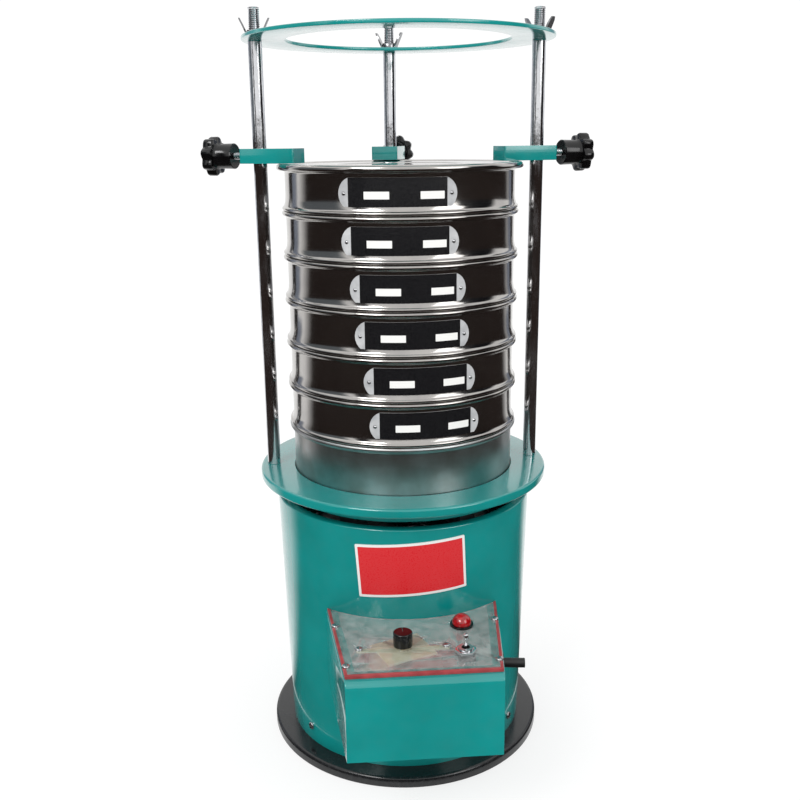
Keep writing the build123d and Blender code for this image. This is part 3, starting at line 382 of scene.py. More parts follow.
def polar(radius, angle, height=0.0):
    """Point at a distance and an angle in radians round Z."""
    return Vector((radius * cos(angle), radius * sin(angle), height))


def bridge(bm, first, second):
    """Faces between two rings of as many points."""
    count = len(first)
    for k in range(count):
        bm.faces.new((first[k], first[(k + 1) % count], second[(k + 1) % count], second[k]))


def lathe(profile, steps=128):
    """Turned shape: a closed profile of radius and height spun about Z. Points on the axis become poles."""
    bm = bmesh.new()
    rings = []
    for radius, height in profile:
        if radius < 1e-6:
            rings.append([bm.verts.new((0, 0, height))])
        else:
            rings.append([bm.verts.new(polar(radius, 2 * pi * k / steps, height)) for k in range(steps)])
    for first, second in zip(rings, rings[1:] + rings[:1]):
        if len(first) == 1 and len(second) == 1:
            continue
        for k in range(steps):
            corners = [first[k % len(first)], first[(k + 1) % len(first)]]
            corners += [second[(k + 1) % len(second)], second[k % len(second)]]
            bm.faces.new(list(dict.fromkeys(corners)))
    return bm


def turned_piece(name, profile, key, body, node, angle=32.0):
    """Piece spun round the machine's own axis, in place of one CAD node."""
    new_piece(name, mesh_from(name, lathe(profile, ROUND_STEPS)), key, body, (node,), angle)


def slab(outline, bottom, top):
    """Upright solid from a flat outline."""
    bm = bmesh.new()
    lower = [bm.verts.new((x, y, bottom)) for x, y in outline]
    upper = [bm.verts.new((x, y, top)) for x, y in outline]
    bm.faces.new(lower[::-1])
    bm.faces.new(upper)
    bridge(bm, lower, upper)
    return bm


def bevelled(bm, width, angle=30.0):
    """Edges sharper than an angle, broken by a small round."""
    sharp = [e for e in bm.edges if len(e.link_faces) == 2 and e.calc_face_angle(0.0) > radians(angle)]
    bmesh.ops.bevel(
        bm, geom=sharp, offset=width, segments=2, profile=0.6, affect="EDGES", clamp_overlap=True
    )
    return bm


def aimed(place, direction, spin=0.0):
    """Matrix that puts a piece's foot at a place with its own Z along a direction."""
    turn = Vector(direction).to_track_quat("Z", "Y").to_matrix().to_4x4()
    return Matrix.Translation(place) @ turn @ Matrix.Rotation(spin, 4, "Z")


def dressed_copy(node, key, body, bevel):
    """Copy of a CAD node with merged corners and edges softened by a bevel in millimetres."""
    bm = bmesh.new()
    bm.from_mesh(frame["nodes"][node].data)
    bm.transform(Matrix.Scale(1 / MM, 4))
    bmesh.ops.remove_doubles(bm, verts=bm.verts, dist=0.001)
    bmesh.ops.dissolve_limit(bm, angle_limit=radians(0.5), verts=bm.verts, edges=bm.edges)
    if bevel:
        bevelled(bm, bevel)
    new_piece(node + "_finished", mesh_from(node + "_dressed", bm), key, body, (node,))


def paint(node, key):
    """Material on a CAD node that shows as it is."""
    data = frame["nodes"][node].data
    data.materials.clear()
    data.materials.append(finish(key))


# Geometry Nodes

def new_tree(name, sockets):
    """Geometry Nodes tree with inputs by name and type, and its input node's sockets."""
    tree = bpy.data.node_groups.new(name, "GeometryNodeTree")
    for label, kind in sockets.items():
        tree.interface.new_socket(label, in_out="INPUT", socket_type="NodeSocket" + kind)
    tree.interface.new_socket("Result", in_out="OUTPUT", socket_type="NodeSocketGeometry")
    return tree, add_node(tree, "NodeGroupInput").outputs


def close_tree(tree, geometry, material):
    """Ends a tree: real geometry with its material."""
    real = add_node(tree, "GeometryNodeRealizeInstances", Geometry=geometry)
    done = add_node(tree, "GeometryNodeSetMaterial", Geometry=real, Material=material)
    add_node(tree, "NodeGroupOutput", Result=done)
    return tree


def copies_tree():
    """Puts one piece on every point, turned to the point's facing and spun by a seeded random angle."""
    sockets = {"Points": "Geometry", "Piece": "Object", "Size": "Float", "Seed": "Int", "Finish": "Material"}
    tree, given = new_tree("Copies On Points", sockets)
    facing = add_node(tree, "GeometryNodeInputNamedAttribute", {"data_type": "FLOAT_VECTOR"}, Name="facing")
    turn = add_node(tree, "FunctionNodeAlignRotationToVector", {"axis": "Z"}, Vector=facing)
    number = {"data_type": "FLOAT"}
    spin = add_node(tree, "FunctionNodeRandomValue", number, i2=0.0, i3=pi, Seed=given["Seed"])
    axis_spin = add_node(tree, "ShaderNodeCombineXYZ", Z=spin.outputs[1])
    piece = add_node(tree, "GeometryNodeObjectInfo", Object=given["Piece"])
    put = add_node(
        tree,
        "GeometryNodeInstanceOnPoints",
        Points=given["Points"],
        Instance=piece.outputs["Geometry"],
        Rotation=turn,
        Scale=given["Size"],
    )
    spun = add_node(tree, "GeometryNodeRotateInstances", Instances=put, Rotation=axis_spin)
    return close_tree(tree, spun, given["Finish"])


def spring_tree():
    """Ring of upright coil springs: a spiral with a round section, copied round a circle."""
    lengths = ("Wire", "Coil Radius", "Height", "Turns", "Circle Radius", "Foot")
    sockets = {**dict.fromkeys(lengths, "Float"), "Count": "Int", "Finish": "Material"}
    tree, given = new_tree("Ring Of Springs", sockets)
    coil = add_node(
        tree,
        "GeometryNodeCurveSpiral",
        Resolution=28,
        Rotations=given["Turns"],
        Start_Radius=given["Coil Radius"],
        End_Radius=given["Coil Radius"],
        Height=given["Height"],
    )
    section = add_node(tree, "GeometryNodeCurvePrimitiveCircle", Resolution=12, Radius=given["Wire"])
    wire = add_node(tree, "GeometryNodeCurveToMesh", Curve=coil, Profile_Curve=section, Fill_Caps=True)
    smooth = add_node(tree, "GeometryNodeSetShadeSmooth", Geometry=wire)
    lift = add_node(tree, "ShaderNodeCombineXYZ", Z=given["Foot"])
    raised = add_node(tree, "GeometryNodeSetPosition", Geometry=smooth, Offset=lift)
    circle = add_node(
        tree, "GeometryNodeMeshCircle", Vertices=given["Count"], Radius=given["Circle Radius"]
    )
    put = add_node(tree, "GeometryNodeInstanceOnPoints", Points=circle, Instance=raised)
    return close_tree(tree, put, given["Finish"])


trees = {}


def run_tree(make_tree, points, values):
    """Plain mesh from a Geometry Nodes tree run on a mesh of points, with its inputs set by name."""
    if make_tree not in trees:
        trees[make_tree] = make_tree()
    carrier = placed("carrier", points)
    modifier = carrier.modifiers.new("made", "NODES")
    modifier.node_group = trees[make_tree]
    for item in trees[make_tree].interface.items_tree:
        if item.item_type == "SOCKET" and item.in_out == "INPUT" and item.name in values:
            modifier[item.identifier] = values[item.name]
    made = evaluated(carrier)
    carrier.modifiers.remove(modifier)
    bpy.data.objects.remove(carrier)
    return made


def copies(name, item_mesh, places, facings, key, body, replaces=()):
    """Copies of a small mesh, on points in millimetres with facings, as one piece."""
    item = placed(name + "_pattern", item_mesh)
    points = bpy.data.meshes.new(name + "_points")
    points.from_pydata([Vector(place) * MM for place in places], [], [])
    facing = points.attributes.new("facing", "FLOAT_VECTOR", "POINT")
    for value, direction in zip(facing.data, facings):
        value.vector = Vector(direction)
    values = {"Piece": item, "Size": 1.0, "Seed": 4, "Finish": finish(key)}
    made = run_tree(copies_tree, points, values)
    bpy.data.objects.remove(item)
    new_piece(name, made, key, body, replaces)


def slotted_screw(radius, height, shank):
    """Domed screw with a slot, its head's foot at the origin and its shank behind."""
    rise = height * 0.35
    profile = [(0, -SCREW_LENGTH), (shank, -SCREW_LENGTH), (shank, 0), (radius, 0), (radius, rise)]
    profile += [(x, rise + y * (height - rise) / radius) for x, y in arc((0, 0), radius, 15, 75, 5)]
    profile.append((0, height))
    head = mesh_from("head", lathe(profile, 32))
    width, depth = SCREW_SLOT
    x, y = radius + 1, width / 2
    slot = slab([(-x, -y), (x, -y), (x, y), (-x, y)], height - depth, height + 1)
    return cut(head, mesh_from("slot", slot))


def cut(solid, tool, solver="EXACT"):
    """Mesh of a solid with a tool's shape taken away."""
    first, second = placed("solid", solid), placed("tool", tool)
    modifier = first.modifiers.new("cut", "BOOLEAN")
    modifier.operation = "DIFFERENCE"
    modifier.solver = solver
    modifier.object = second
    made = evaluated(first)
    bpy.data.objects.remove(first)
    bpy.data.objects.remove(second)
    return made


def islands(node):
    """Boxes, in millimetres, of the separate solids of a CAD node."""
    bm = bmesh.new()
    bm.from_mesh(frame["nodes"][node].data)
    bmesh.ops.remove_doubles(bm, verts=bm.verts, dist=1e-6)
    left = set(bm.verts)
    found = []
    while left:
        queue = [left.pop()]
        corners = []
        while queue:
            vert = queue.pop()
            corners.append(vert.co / MM)
            for edge in vert.link_edges:
                other = edge.other_vert(vert)
                if other in left:
                    left.remove(other)
                    queue.append(other)
        lo = Vector([min(c[k] for c in corners) for k in range(3)])
        hi = Vector([max(c[k] for c in corners) for k in range(3)])
        found.append((lo, hi))
    bm.free()
    return sorted(found, key=lambda pair: tuple(round(v, 2) for v in pair[0]))


def centres_of(boxes_found):
    """Middles of boxes given by their corners."""
    return [(lowest + highest) / 2 for lowest, highest in boxes_found]


def arc(centre, radius, start, end, steps=6):
    """Points on a circular arc between two angles in degrees."""
    angles = [radians(start + (end - start) * k / steps) for k in range(steps + 1)]
    return [(centre[0] + radius * cos(a), centre[1] + radius * sin(a)) for a in angles]


def casing_radius(height):
    """Outer radius of the tapered casing at a height."""
    foot, top = low("casing").z, high("casing").z
    share = (height - foot) / (top - foot)
    return CASING_FOOT + (high("casing").x - CASING_FOOT) * share


def wrapped(bm, radius_at, angle, height, lean=0.0, strip=2.0):
    """Flat piece in X and Y, thickness in Z, bent round the machine's axis at an angle and height."""
    bm.transform(Matrix.Rotation(radians(lean), 4, "Z"))
    reach = max(abs(v.co.x) for v in bm.verts)
    cuts = int(2 * reach / strip)
    for k in range(1, cuts):
        geometry = bm.verts[:] + bm.edges[:] + bm.faces[:]
        place = Vector((-reach + 2 * reach * k / cuts, 0, 0))
        bmesh.ops.bisect_plane(bm, geom=geometry, plane_co=place, plane_no=(1, 0, 0))
    for vert in bm.verts:
        across, up, out = vert.co
        radius = radius_at(height + up) + out
        turn = radians(angle) + across / radius_at(height)
        vert.co = polar(radius, turn, height + up)
    return bm


def threaded(radius, length, pitch, depth, chamfer=0.6):
    """Profile of a threaded rod from its foot at the origin, drawn as fine V grooves."""
    profile = [(0, 0), (radius - chamfer, 0)]
    for k in range(int((length - 2 * chamfer) / pitch)):
        foot = chamfer + k * pitch
        profile += [(radius - depth, foot), (radius, foot + pitch / 2)]
    profile += [(radius - depth, length - chamfer), (radius - chamfer, length), (0, length)]
    return profile


def rectangle(width, height, radius, centre=(0.0, 0.0), steps=5):
    """Outline of a rectangle with rounded corners."""
    x, y = width / 2 - radius, height / 2 - radius
    outline = []
    for k, (across, up) in enumerate(((-x, -y), (x, -y), (x, y), (-x, y))):
        outline += arc((centre[0] + across, centre[1] + up), radius, 180 + 90 * k, 270 + 90 * k, steps)
    return outline


# Measured sizes that the CAD nodes' boxes don't give, in millimetres and degrees

ROUND_STEPS = 160
CASING_FOOT = 113.0
CASING_SHEET = 2.0
CASING_ROLL = 1.6
CASING_LIP = 8.0
WINDOW_SIZE = (56, 34, 8.5)
WINDOW_RISE = 98
BASE_ROUND = 3.0
SPIGOT_WALL = (2.2, 7.2)
SCREW_SLOT = (0.8, 0.9)
SCREW_LENGTH = 9.0
LABEL_SIZE = (96.0, 49.0)
LABEL_BORDER = 4.6
LABEL_ANGLE = -91.0
LABEL_LEAN = 3.5
SPRING_WIRE = 3.5
SPRING_COIL = 12.0
SPRING_CIRCLE = 95.0
TABLE_ROUND = 2.5
TABLE_RIM = 8.7
TABLE_BORE = 14
HUB_RADIUS = 110.0
RECESS_RADIUS = 102.1
RECESS_DEPTH = 7.8
POST_PITCH = 1.5
POST_CREST = 5.0
NUT_RADIUS = 9.237
RING_HOLE = 96.7
RING_ROUND = 0.8
KNOB_LOBES = 8
KNOB_RADIUS = 17.0
KNOB_WAIST = 14.2
KNOB_HUB = 16.0
KNOB_DISC = 10.0
SIEVE_RADIUS = 101.5
SIEVE_PITCH = 38.4
SIEVE_BEAD = 2.2
SHEET = 0.8
PLATE_ANGLES = (-95.5, -94.5, -90.7, -88.7, -84.8, -82.3)
PLATE_CENTRE = 17.8
PLATE_FIELD = (81.0, 25.0)
PLATE_LENGTH = 98.5
PLATE_WINDOWS = ((-16.7, 20.6), (28.15, 19.7))
RIVET_REACH = 44.5

# Half sections of turned pieces, as radius and height
LEVER = [(0, 0), (1.6, 0.5), (2.8, 1.8), (3.1, 3.2), (2.7, 4.6), (1.6, 5.8), (1.15, 7.0), (1.25, 12.4)]
LEVER += [(1.6, 17.5), (2.1, 20.6), (2.2, 21.8), (1.9, 23.0), (1.1, 23.7), (0, 23.9)]
KNOB_NECK = [(3.1, 0), (10.4, 0), (11, 0.6), (10.6, 13.5), (11.2, 15.2), (12, 16.5), (3.1, 16.5)]
NUT_COLLAR = [(5.1, 0), (6.9, 0), (7.0, 0.4), (6.7, 4.6), (6.1, 5.6), (5.1, 5.8)]
# Above a sieve's seat: the skirt that goes into the sieve below, and the shoulder over its bead
SKIRT = [(98.7, 1), (98.7, -11), (99.5, -11), (99.5, 0.2), (102.6, 0.2)]
SHOULDER = [(103.2, 3.9), (102.75, 4.8), (102.35, 6.0), (102.0, 7.6), (101.75, 9.4), (101.58, 11.4)]
SHOULDER += [(SIEVE_RADIUS, 14)]
# Below the lid's top: rolled rim, dished shoulder, sunk middle, and the underside back to the rim
LID = [(105.55, -5.4), (107.4, -5.4), (108.2, -4.9), (108.6, -3.9), (108.55, -2.6), (108.0, -1.2)]
LID += [(106.9, -0.35), (105.4, 0), (100.0, 0), (98.4, -0.15), (96.9, -1.0), (95.6, -1.2), (57.5, -1.2)]
LID += [(56.2, -1.35), (54.6, -2.05), (53.2, -2.2), (0, -2.2), (0, -3.7), (54, -3.7), (56, -2.7)]
LID += [(96.5, -2.7), (98.5, -1.5), (105.55, -1.5)]
# Knob's disc: scale of its star outline, and height from the disc's back
KNOB_LEVELS = [(0.90, 0), (0.96, 0.25), (1.0, 1.3), (1.0, KNOB_DISC - 2.2), (0.965, KNOB_DISC - 0.9)]
KNOB_LEVELS += [(0.90, KNOB_DISC - 0.25), (0.80, KNOB_DISC), (0.45, KNOB_DISC), (0.42, KNOB_DISC - 0.4)]
# Wing nut's ear: distance from the axis, height and half width
EAR = [(5.9, 0.8, 3.6), (6.7, 2.6, 4.2), (7.9, 5.6, 4.9), (9.5, 9.2, 4.9), (11.2, 12.6, 4.2)]
EAR += [(12.4, 15.2, 2.4)]
EAR_SHEET = 1.6

# Camera fitted to the photo: place round the machine in millimetres, turn in degrees
CAMERA_REACH = 881.1
CAMERA_ANGLE = -94.3
CAMERA_HEIGHT = 562.0
CAMERA_HEADING = -4.162
CAMERA_PITCH = 15.027
CAMERA_ROLL = -0.642
FOCAL_SHARE = 970.144 / 800
SENSOR_WIDTH = 36.0

# Cards for the steel to reflect: name, two circles as radius and height in metres, colour, angles in
# degrees between which it stands, and the width of its faded ends
CARDS = (
    ("dark_ground", (0.14, 0.001), (1.9, 0.001), "#2b2320", 150, 404, 14),
    ("dark_wall", (1.9, 0.001), (1.9, 0.58), "#2b2320", 150, 404, 14),
    ("grey_wall", (1.9, 0.001), (1.9, 1.6), "#8a92a2", 124, 148, 4),
    ("side_wall", (1.9, 0.001), (1.9, 1.6), "#8a92a2", 36, 56, 4),
    ("upper_grey", (1.95, 0.58), (1.95, 1.7), "#6d7378", 150, 212, 8),
    ("thin_dark", (1.95, 0.58), (1.95, 1.7), "#15161a", 217, 235, 4),
    ("upper_dark", (1.95, 0.58), (1.95, 1.7), "#15161a", 316, 372, 8),
)
FLOOR_REACH = 6.0
FLOOR_FADE = (0.12, 0.42)
BACKGROUND = 1.05


def raised(section, height):
    """Half section moved up by a height."""
    return [(radius, height + rise) for radius, rise in section]


def build_base(settings):
    """Base plate, casing, its screws and the red label."""
    r, top, spigot = high("base_plate").x, BASE_PLATE_TOP, high("base_plate").z
    outer, inner = SPIGOT_WALL
    profile = [(0, 0), (r - 0.8, 0), (r, 0.8)] + arc((r - BASE_ROUND, top - BASE_ROUND), BASE_ROUND, 0, 90)
    profile += [(casing_radius(top) - outer, top), (casing_radius(spigot) - outer, spigot)]
    profile += [(casing_radius(spigot) - inner, spigot), (casing_radius(top) - inner, top), (0, top)]
    turned_piece("base_plate_enamelled", profile, "black_base", "base", "base_plate")

    lo, hi, rim, sheet = low("casing").z, high("casing").z, high("casing").x, CASING_SHEET
    levels = [lo + (hi - lo) * k / 8 for k in range(1, 8)]
    profile = [(CASING_FOOT, lo)] + [(casing_radius(level), level) for level in levels]
    profile += arc((casing_radius(hi - CASING_ROLL) - CASING_ROLL, hi - CASING_ROLL), CASING_ROLL, 0, 90)
    profile += [(rim - CASING_LIP, hi), (rim - CASING_LIP, hi - sheet)]
    profile += [(casing_radius(hi - sheet) - sheet, hi - sheet), (CASING_FOOT - sheet, lo)]
    shell = mesh_from("casing", lathe(profile, ROUND_STEPS))
    place = Matrix.Translation((0, 0, lo + WINDOW_RISE)) @ Matrix.Rotation(radians(90), 4, "X")
    window = mesh_from("window", slab(rectangle(*WINDOW_SIZE), 90, 130), place)
    new_piece("casing_enamelled", cut(shell, window, "FAST"), "green", "base", ("casing",))

    centres = centres_of(islands("foot_screws"))
    outward = [Vector((c.x, c.y, 0)).normalized() for c in centres]
    seats = [n * (casing_radius(c.z) + 0.2) + Vector((0, 0, c.z)) for n, c in zip(outward, centres)]
    screw = slotted_screw(3.5, 2.2, 2.0)
    copies("foot_screws_turned", screw, seats, outward, "zinc", "base", ("foot_screws",))

    centre = middle("label_plate").z
    width, tall = LABEL_SIZE
    plate = slab(rectangle(width, tall, 1.0), 0.1, 0.85)
    field = slab(rectangle(width - LABEL_BORDER, tall - LABEL_BORDER, 0.6), 0.8, 0.95)
    for bm, name, key, nodes in (
        (plate, "label_border", "plate_white", ("label_plate",)),
        (field, "label_field", "label_red", ()),
    ):
        bend = wrapped(bm, casing_radius, LABEL_ANGLE, centre, LABEL_LEAN)
        new_piece(name, mesh_from(name, bend), key, "base", nodes)


def build_box(settings):
    """Control box, clear cover with its red edge, and everything fitted in it."""
    dressed_copy("control_box", "green", "base", 0.0)
    dressed_copy("clear_cover", "acrylic", "base", 0.15)
    dressed_copy("cover_edging", "edging", "base", 0.15)
    level = high("clear_cover").z
    seats = [Vector((c.x, c.y, level)) for c in centres_of(islands("cover_screws"))]
    screw = slotted_screw(3.3, 1.9, 1.5)
    copies("cover_screws_turned", screw, seats, [UP] * len(seats), "zinc", "base", ("cover_screws",))
    for node, key, bevel in (
        ("timer_body", "cream", 0.5),
        ("timer_plates", "laminate", 0.2),
        ("switch_body", "zinc", 0.0),
        ("switch_nut", "chrome", 0.35),
        ("lamp_body", "phenolic", 0.3),
        ("lamp_lens", "lens", 0.2),
        ("run_capacitor", "can", 0.8),
        ("terminal_block", "ceramic", 0.3),
        ("cable_bush", "rubber", 0.3),
    ):
        dressed_copy(node, key, "base", bevel)
    dressed_copy("timer_knob", "phenolic", "timer_knob", 0.25)
    foot = Vector((*middle("switch_lever").xy, low("switch_lever").z))
    lever = mesh_from("lever", lathe(LEVER, 32), Matrix.Translation(foot))
    new_piece("switch_lever_turned", lever, "chrome", "switch_lever", ("switch_lever",))


def build_springs(settings):
    """Ring of coil springs between the shelf and the table."""
    foot, top = low("springs").z, high("springs").z
    values = {
        "Wire": SPRING_WIRE / 2 * MM,
        "Coil Radius": SPRING_COIL * MM,
        "Height": (top - foot - SPRING_WIRE) * MM,
        "Turns": settings.spring_turns,
        "Circle Radius": SPRING_CIRCLE * MM,
        "Foot": (foot + SPRING_WIRE / 2) * MM,
        "Count": len(islands("springs")),
        "Finish": finish("spring"),
    }
    springs = placed("springs_coiled", run_tree(spring_tree, bpy.data.meshes.new("spring_centre"), values))
    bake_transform(springs)
    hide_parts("springs")


def build_table(settings):
    """Table, posts, nuts and top ring."""
    lo, hi, r = low("table_plate").z, high("table_plate").z, high("table_plate").x
    rim, floor, edge = hi - TABLE_RIM, hi - RECESS_DEPTH, TABLE_ROUND
    profile = [(TABLE_BORE, lo), (HUB_RADIUS - 0.5, lo), (HUB_RADIUS, lo + 0.5), (HUB_RADIUS, rim)]
    profile += arc((r - edge, rim + edge), edge, -90, 0) + arc((r - edge, hi - edge), edge, 0, 90)
    profile += [(RECESS_RADIUS + 0.6, hi), (RECESS_RADIUS, hi - 0.6), (RECESS_RADIUS, floor)]
    turned_piece("table_enamelled", profile + [(TABLE_BORE, floor)], "green", "table", "table_plate")

    # A post: nut end below, plain shaft, then the thread that the ring and wing nut sit on
    posts = islands("posts")
    foot, top, ring, crest = posts[0][0].z, posts[0][1].z, low("top_ring").z, POST_CREST
    profile = [(0, foot), (4.2, foot), (5, foot + 0.8), (5, hi), (5.7, hi), (6, hi + 0.3)]
    profile += [(6, ring - 0.3), (5.7, ring), (4.7, ring)]
    level = ring + 0.4
    while level < top - 2.2:
        profile += [(crest - 0.7, level), (crest, level + POST_PITCH / 2)]
        level += POST_PITCH
    profile += [(crest - 0.4, level), (crest, level + 0.5), (crest - 0.1, top - 1.0), (crest - 1.0, top)]
    post = mesh_from("post", lathe(profile + [(0, top)], 40))
    seats = [(c.x, c.y, 0) for c in centres_of(posts)]
    copies("posts_ground", post, seats, [UP] * len(seats), "chrome", "table", ("posts",))

    nuts = islands("post_nuts")
    foot, top = nuts[0][0].z, nuts[0][1].z
    hexagon = [polar(NUT_RADIUS, radians(60 * k)).xy for k in range(6)]
    nut = mesh_from("nut", bevelled(slab(hexagon, 0.0, top - foot), 0.5))
    seats = [(c.x, c.y, foot) for c in centres_of(nuts)]
    copies("post_nuts_plated", nut, seats, [UP] * len(seats), "zinc", "table", ("post_nuts",))

    lo, hi, r = low("top_ring").z, high("top_ring").z, high("top_ring").x
    centre = ((r + RING_HOLE) / 2, (lo + hi) / 2)
    profile = rectangle(r - RING_HOLE, hi - lo, RING_ROUND, centre, 3)
    turned_piece("top_ring_enamelled", profile, "green", "table", "top_ring")


def star_outline(radius, waist, count, steps=160):
    """Outline of a star knob: round lobes with hollows between them."""
    outline = []
    for k in range(steps):
        angle = 2 * pi * k / steps
        swell = (0.5 + 0.5 * cos(count * angle)) ** 0.75
        outline.append(polar(waist + (radius - waist) * swell, angle))
    return outline


def stacked(outline, levels):
    """Solid through scaled copies of one outline at given heights, closed at both ends."""
    bm = bmesh.new()
    rings = [[bm.verts.new((p.x * s, p.y * s, z)) for p in outline] for s, z in levels]
    for first, second in zip(rings, rings[1:]):
        bridge(bm, first, second)
    for ring, height in ((rings[0], levels[0][1]), (rings[-1], levels[-1][1])):
        pole = bm.verts.new((0, 0, height))
        for k in range(len(ring)):
            bm.faces.new((ring[k], ring[(k + 1) % len(ring)], pole))
    return bm


def joined(name, parts, matrix=None):
    """One mesh from several bmeshes."""
    whole = bmesh.new()
    for part in parts:
        bmesh.ops.recalc_face_normals(part, faces=part.faces)
        data = bpy.data.meshes.new("part")
        part.to_mesh(data)
        part.free()
        whole.from_mesh(data)
        bpy.data.meshes.remove(data)
    return mesh_from(name, whole, matrix)


def reach_along(node, axis, origin):
    """Least and greatest distance of a node's corners along an axis from a point."""
    along = [(v.co / MM - origin).dot(axis) for v in frame["nodes"][node].data.vertices]
    return min(along), max(along)


def build_clamps(settings):
    """Clamp arms with their screws, star knobs and wing nuts."""
    outline = star_outline(KNOB_RADIUS, KNOB_WAIST, KNOB_LOBES)
    levels = [(scale, KNOB_HUB + rise) for scale, rise in KNOB_LEVELS]
    for side in SIDES:
        turning = joint(side + "_knob_turn")
        axis, origin = Vector(turning["axis"]), Vector(turning["pos_m"]) / MM
        arm, screw, knob = (f"{side}_clamp_{piece}" for piece in ("arm", "screw", "knob"))
        dressed_copy(arm, "cast_green", side + "_clamp", 1.5)
        start, end = reach_along(screw, axis, origin)
        rod = lathe(threaded(3.0, end - start, 1.0, 0.45), 24)
        data = mesh_from("rod", rod, aimed(origin + axis * start, axis))
        new_piece(screw + "_cut", data, "zinc", side + "_knob", (screw,))
        start = reach_along(knob, axis, origin)[0]
        parts = [lathe(KNOB_NECK, 64), stacked(outline, levels)]
        data = joined("knob", parts, aimed(origin + axis * start, axis, settings.knob_spin))
        new_piece(side + "_knob_moulded", data, "phenolic", side + "_knob", (knob,))
        build_wing_nut(side)


def build_wing_nut(side):
    """Pressed wing nut: a round collar with two plate ears that lean outwards, turned as its CAD node is."""
    node = side + "_wing_nut"
    turning = joint(side + "_nut_turn")
    corners = [v.co / MM for v in frame["nodes"][node].data.vertices]
    centre = Vector((turning["pos_m"][0] / MM, turning["pos_m"][1] / MM, low(node).z))
    far = max(corners, key=lambda c: (c - centre).xy.length)
    parts = [lathe(NUT_COLLAR, 40)]
    for turn in (0.0, pi):
        ear = bmesh.new()
        rows = []
        for reach, level, wide in EAR:
            near, away = reach - EAR_SHEET / 2, reach + EAR_SHEET / 2
            corners = ((near, -wide), (away, -wide), (away, wide), (near, wide))
            rows.append([ear.verts.new((x, y, level)) for x, y in corners])
        for first, second in zip(rows, rows[1:]):
            bridge(ear, first, second)
        ear.faces.new(rows[0][::-1])
        ear.faces.new(rows[-1])
        bevelled(ear, 0.45, 50.0)
        ear.transform(Matrix.Rotation(turn, 4, "Z"))
        parts.append(ear)
    yaw = Matrix.Rotation(atan2(far.y - centre.y, far.x - centre.x), 4, "Z")
    data = joined("wing_nut", parts, Matrix.Translation(centre) @ yaw)
    new_piece(node + "_pressed", data, "dull_nickel", side + "_nut", (node,))


def rolled_rim(height):
    """Section of the bead that the top of a sieve or the pan is rolled into."""
    r = SIEVE_RADIUS
    neck = [(r, height - 4.2), (r + 0.15, height - 3.4), (r + 0.6, height - 2.6)]
    return neck + arc((r + 1.5, height), 2.1, -80, 85, 8)


def build_stack(settings):
    """Sieves with their nameplates, receiving pan and lid."""
    r = SIEVE_RADIUS
    for index in range(1, SIEVE_COUNT + 1):
        body, node = f"sieve_{index}", f"sieve_{index}_frame"
        top = high(node).z
        seat = top - SIEVE_PITCH
        profile = raised(SKIRT, seat) + arc((102.9, seat + 1.95), 1.75, -80, 60, 8) + raised(SHOULDER, seat)
        profile += rolled_rim(top - SIEVE_BEAD) + [(r - SHEET, top), (r - SHEET, seat + 1)]
        turned_piece(node + "_spun", profile, "stainless", body, node, 50)
        paint(f"sieve_{index}_cloth", "cloth")
        build_nameplate(index, seat + PLATE_CENTRE, PLATE_ANGLES[index - 1], body)

    lo, hi = low("pan").z, high("pan").z
    profile = [(0, lo)] + arc((r - 3, lo + 3), 3, -90, 0) + rolled_rim(hi - SIEVE_BEAD)
    profile += [(r - SHEET, hi), (r - SHEET, lo + 3)] + arc((r - 3, lo + 3), 2.2, 0, -90) + [(0, lo + SHEET)]
    turned_piece("pan_spun", profile, "satin", "pan", "pan", 50)
    turned_piece("lid_spun", raised(LID, high("lid").z), "stainless", "lid", "lid", 50)


def sieve_wall(height):
    """Outer radius of a sieve, the same at every height."""
    return SIEVE_RADIUS


def build_nameplate(index, height, angle, body):
    """Bare nameplate bent round a sieve: black field, two blanks, and bright round ends with a rivet each."""
    width, tall = PLATE_FIELD
    bulge = (PLATE_LENGTH - width) / 2
    radius = (tall * tall / 4 + bulge * bulge) / (2 * bulge)
    half = degrees(asin(tall / 2 / radius))
    right = arc((width / 2 + bulge - radius, 0), radius, -half, half, 10)
    left = arc((-width / 2 - bulge + radius, 0), radius, 180 - half, 180 + half, 10)
    for name, bm, key in (
        ("plate", slab(right + left, 0.02, 0.5), "plate_silver"),
        ("ink", slab(rectangle(width, tall, 0.2), 0.45, 0.56), "plate_black"),
    ):
        data = mesh_from(f"{name}_{index}", wrapped(bm, sieve_wall, angle, height))
        new_piece(f"{body}_name_{name}", data, key, body)
    blanks = [slab(rectangle(wide, 6.0, 0.3, (x, -1.3)), 0.55, 0.62) for x, wide in PLATE_WINDOWS]
    data = joined("blanks", [wrapped(bm, sieve_wall, angle, height) for bm in blanks])
    new_piece(f"{body}_name_blanks", data, "plate_white", body)
    turns = [radians(angle) + side * RIVET_REACH / SIEVE_RADIUS for side in (-1, 1)]
    seats = [polar(SIEVE_RADIUS + 0.45, turn, height) for turn in turns]
    dome = mesh_from("rivet", lathe([(0, 0), (1.7, 0)] + arc((0, -0.6), 1.8, 20, 80, 5) + [(0, 1.2)], 24))
    copies(f"{body}_rivets", dome, seats, [polar(1, turn) for turn in turns], "zinc", body)


def build_inside(settings):
    """Finishes of the pieces inside the casing, whose CAD shapes show as they are."""
    for key, nodes in {
        "cast": ("spring_shelf", "motor_housing", "motor_lower_bell"),
        "laminations": ("motor_stator",),
        "turned": ("motor_bearings", "rotor_shaft", "upper_weight", "lower_weight"),
        "zinc": ("motor_bolts",),
    }.items():
        for node in nodes:
            paint(node, key)


def stage_piece(name, points, faces, material):
    """Flat piece of the stage."""
    data = bpy.data.meshes.new(name)
    data.from_pydata(points, [], faces)
    data.materials.append(material)
    piece = placed(name, data)
    return piece


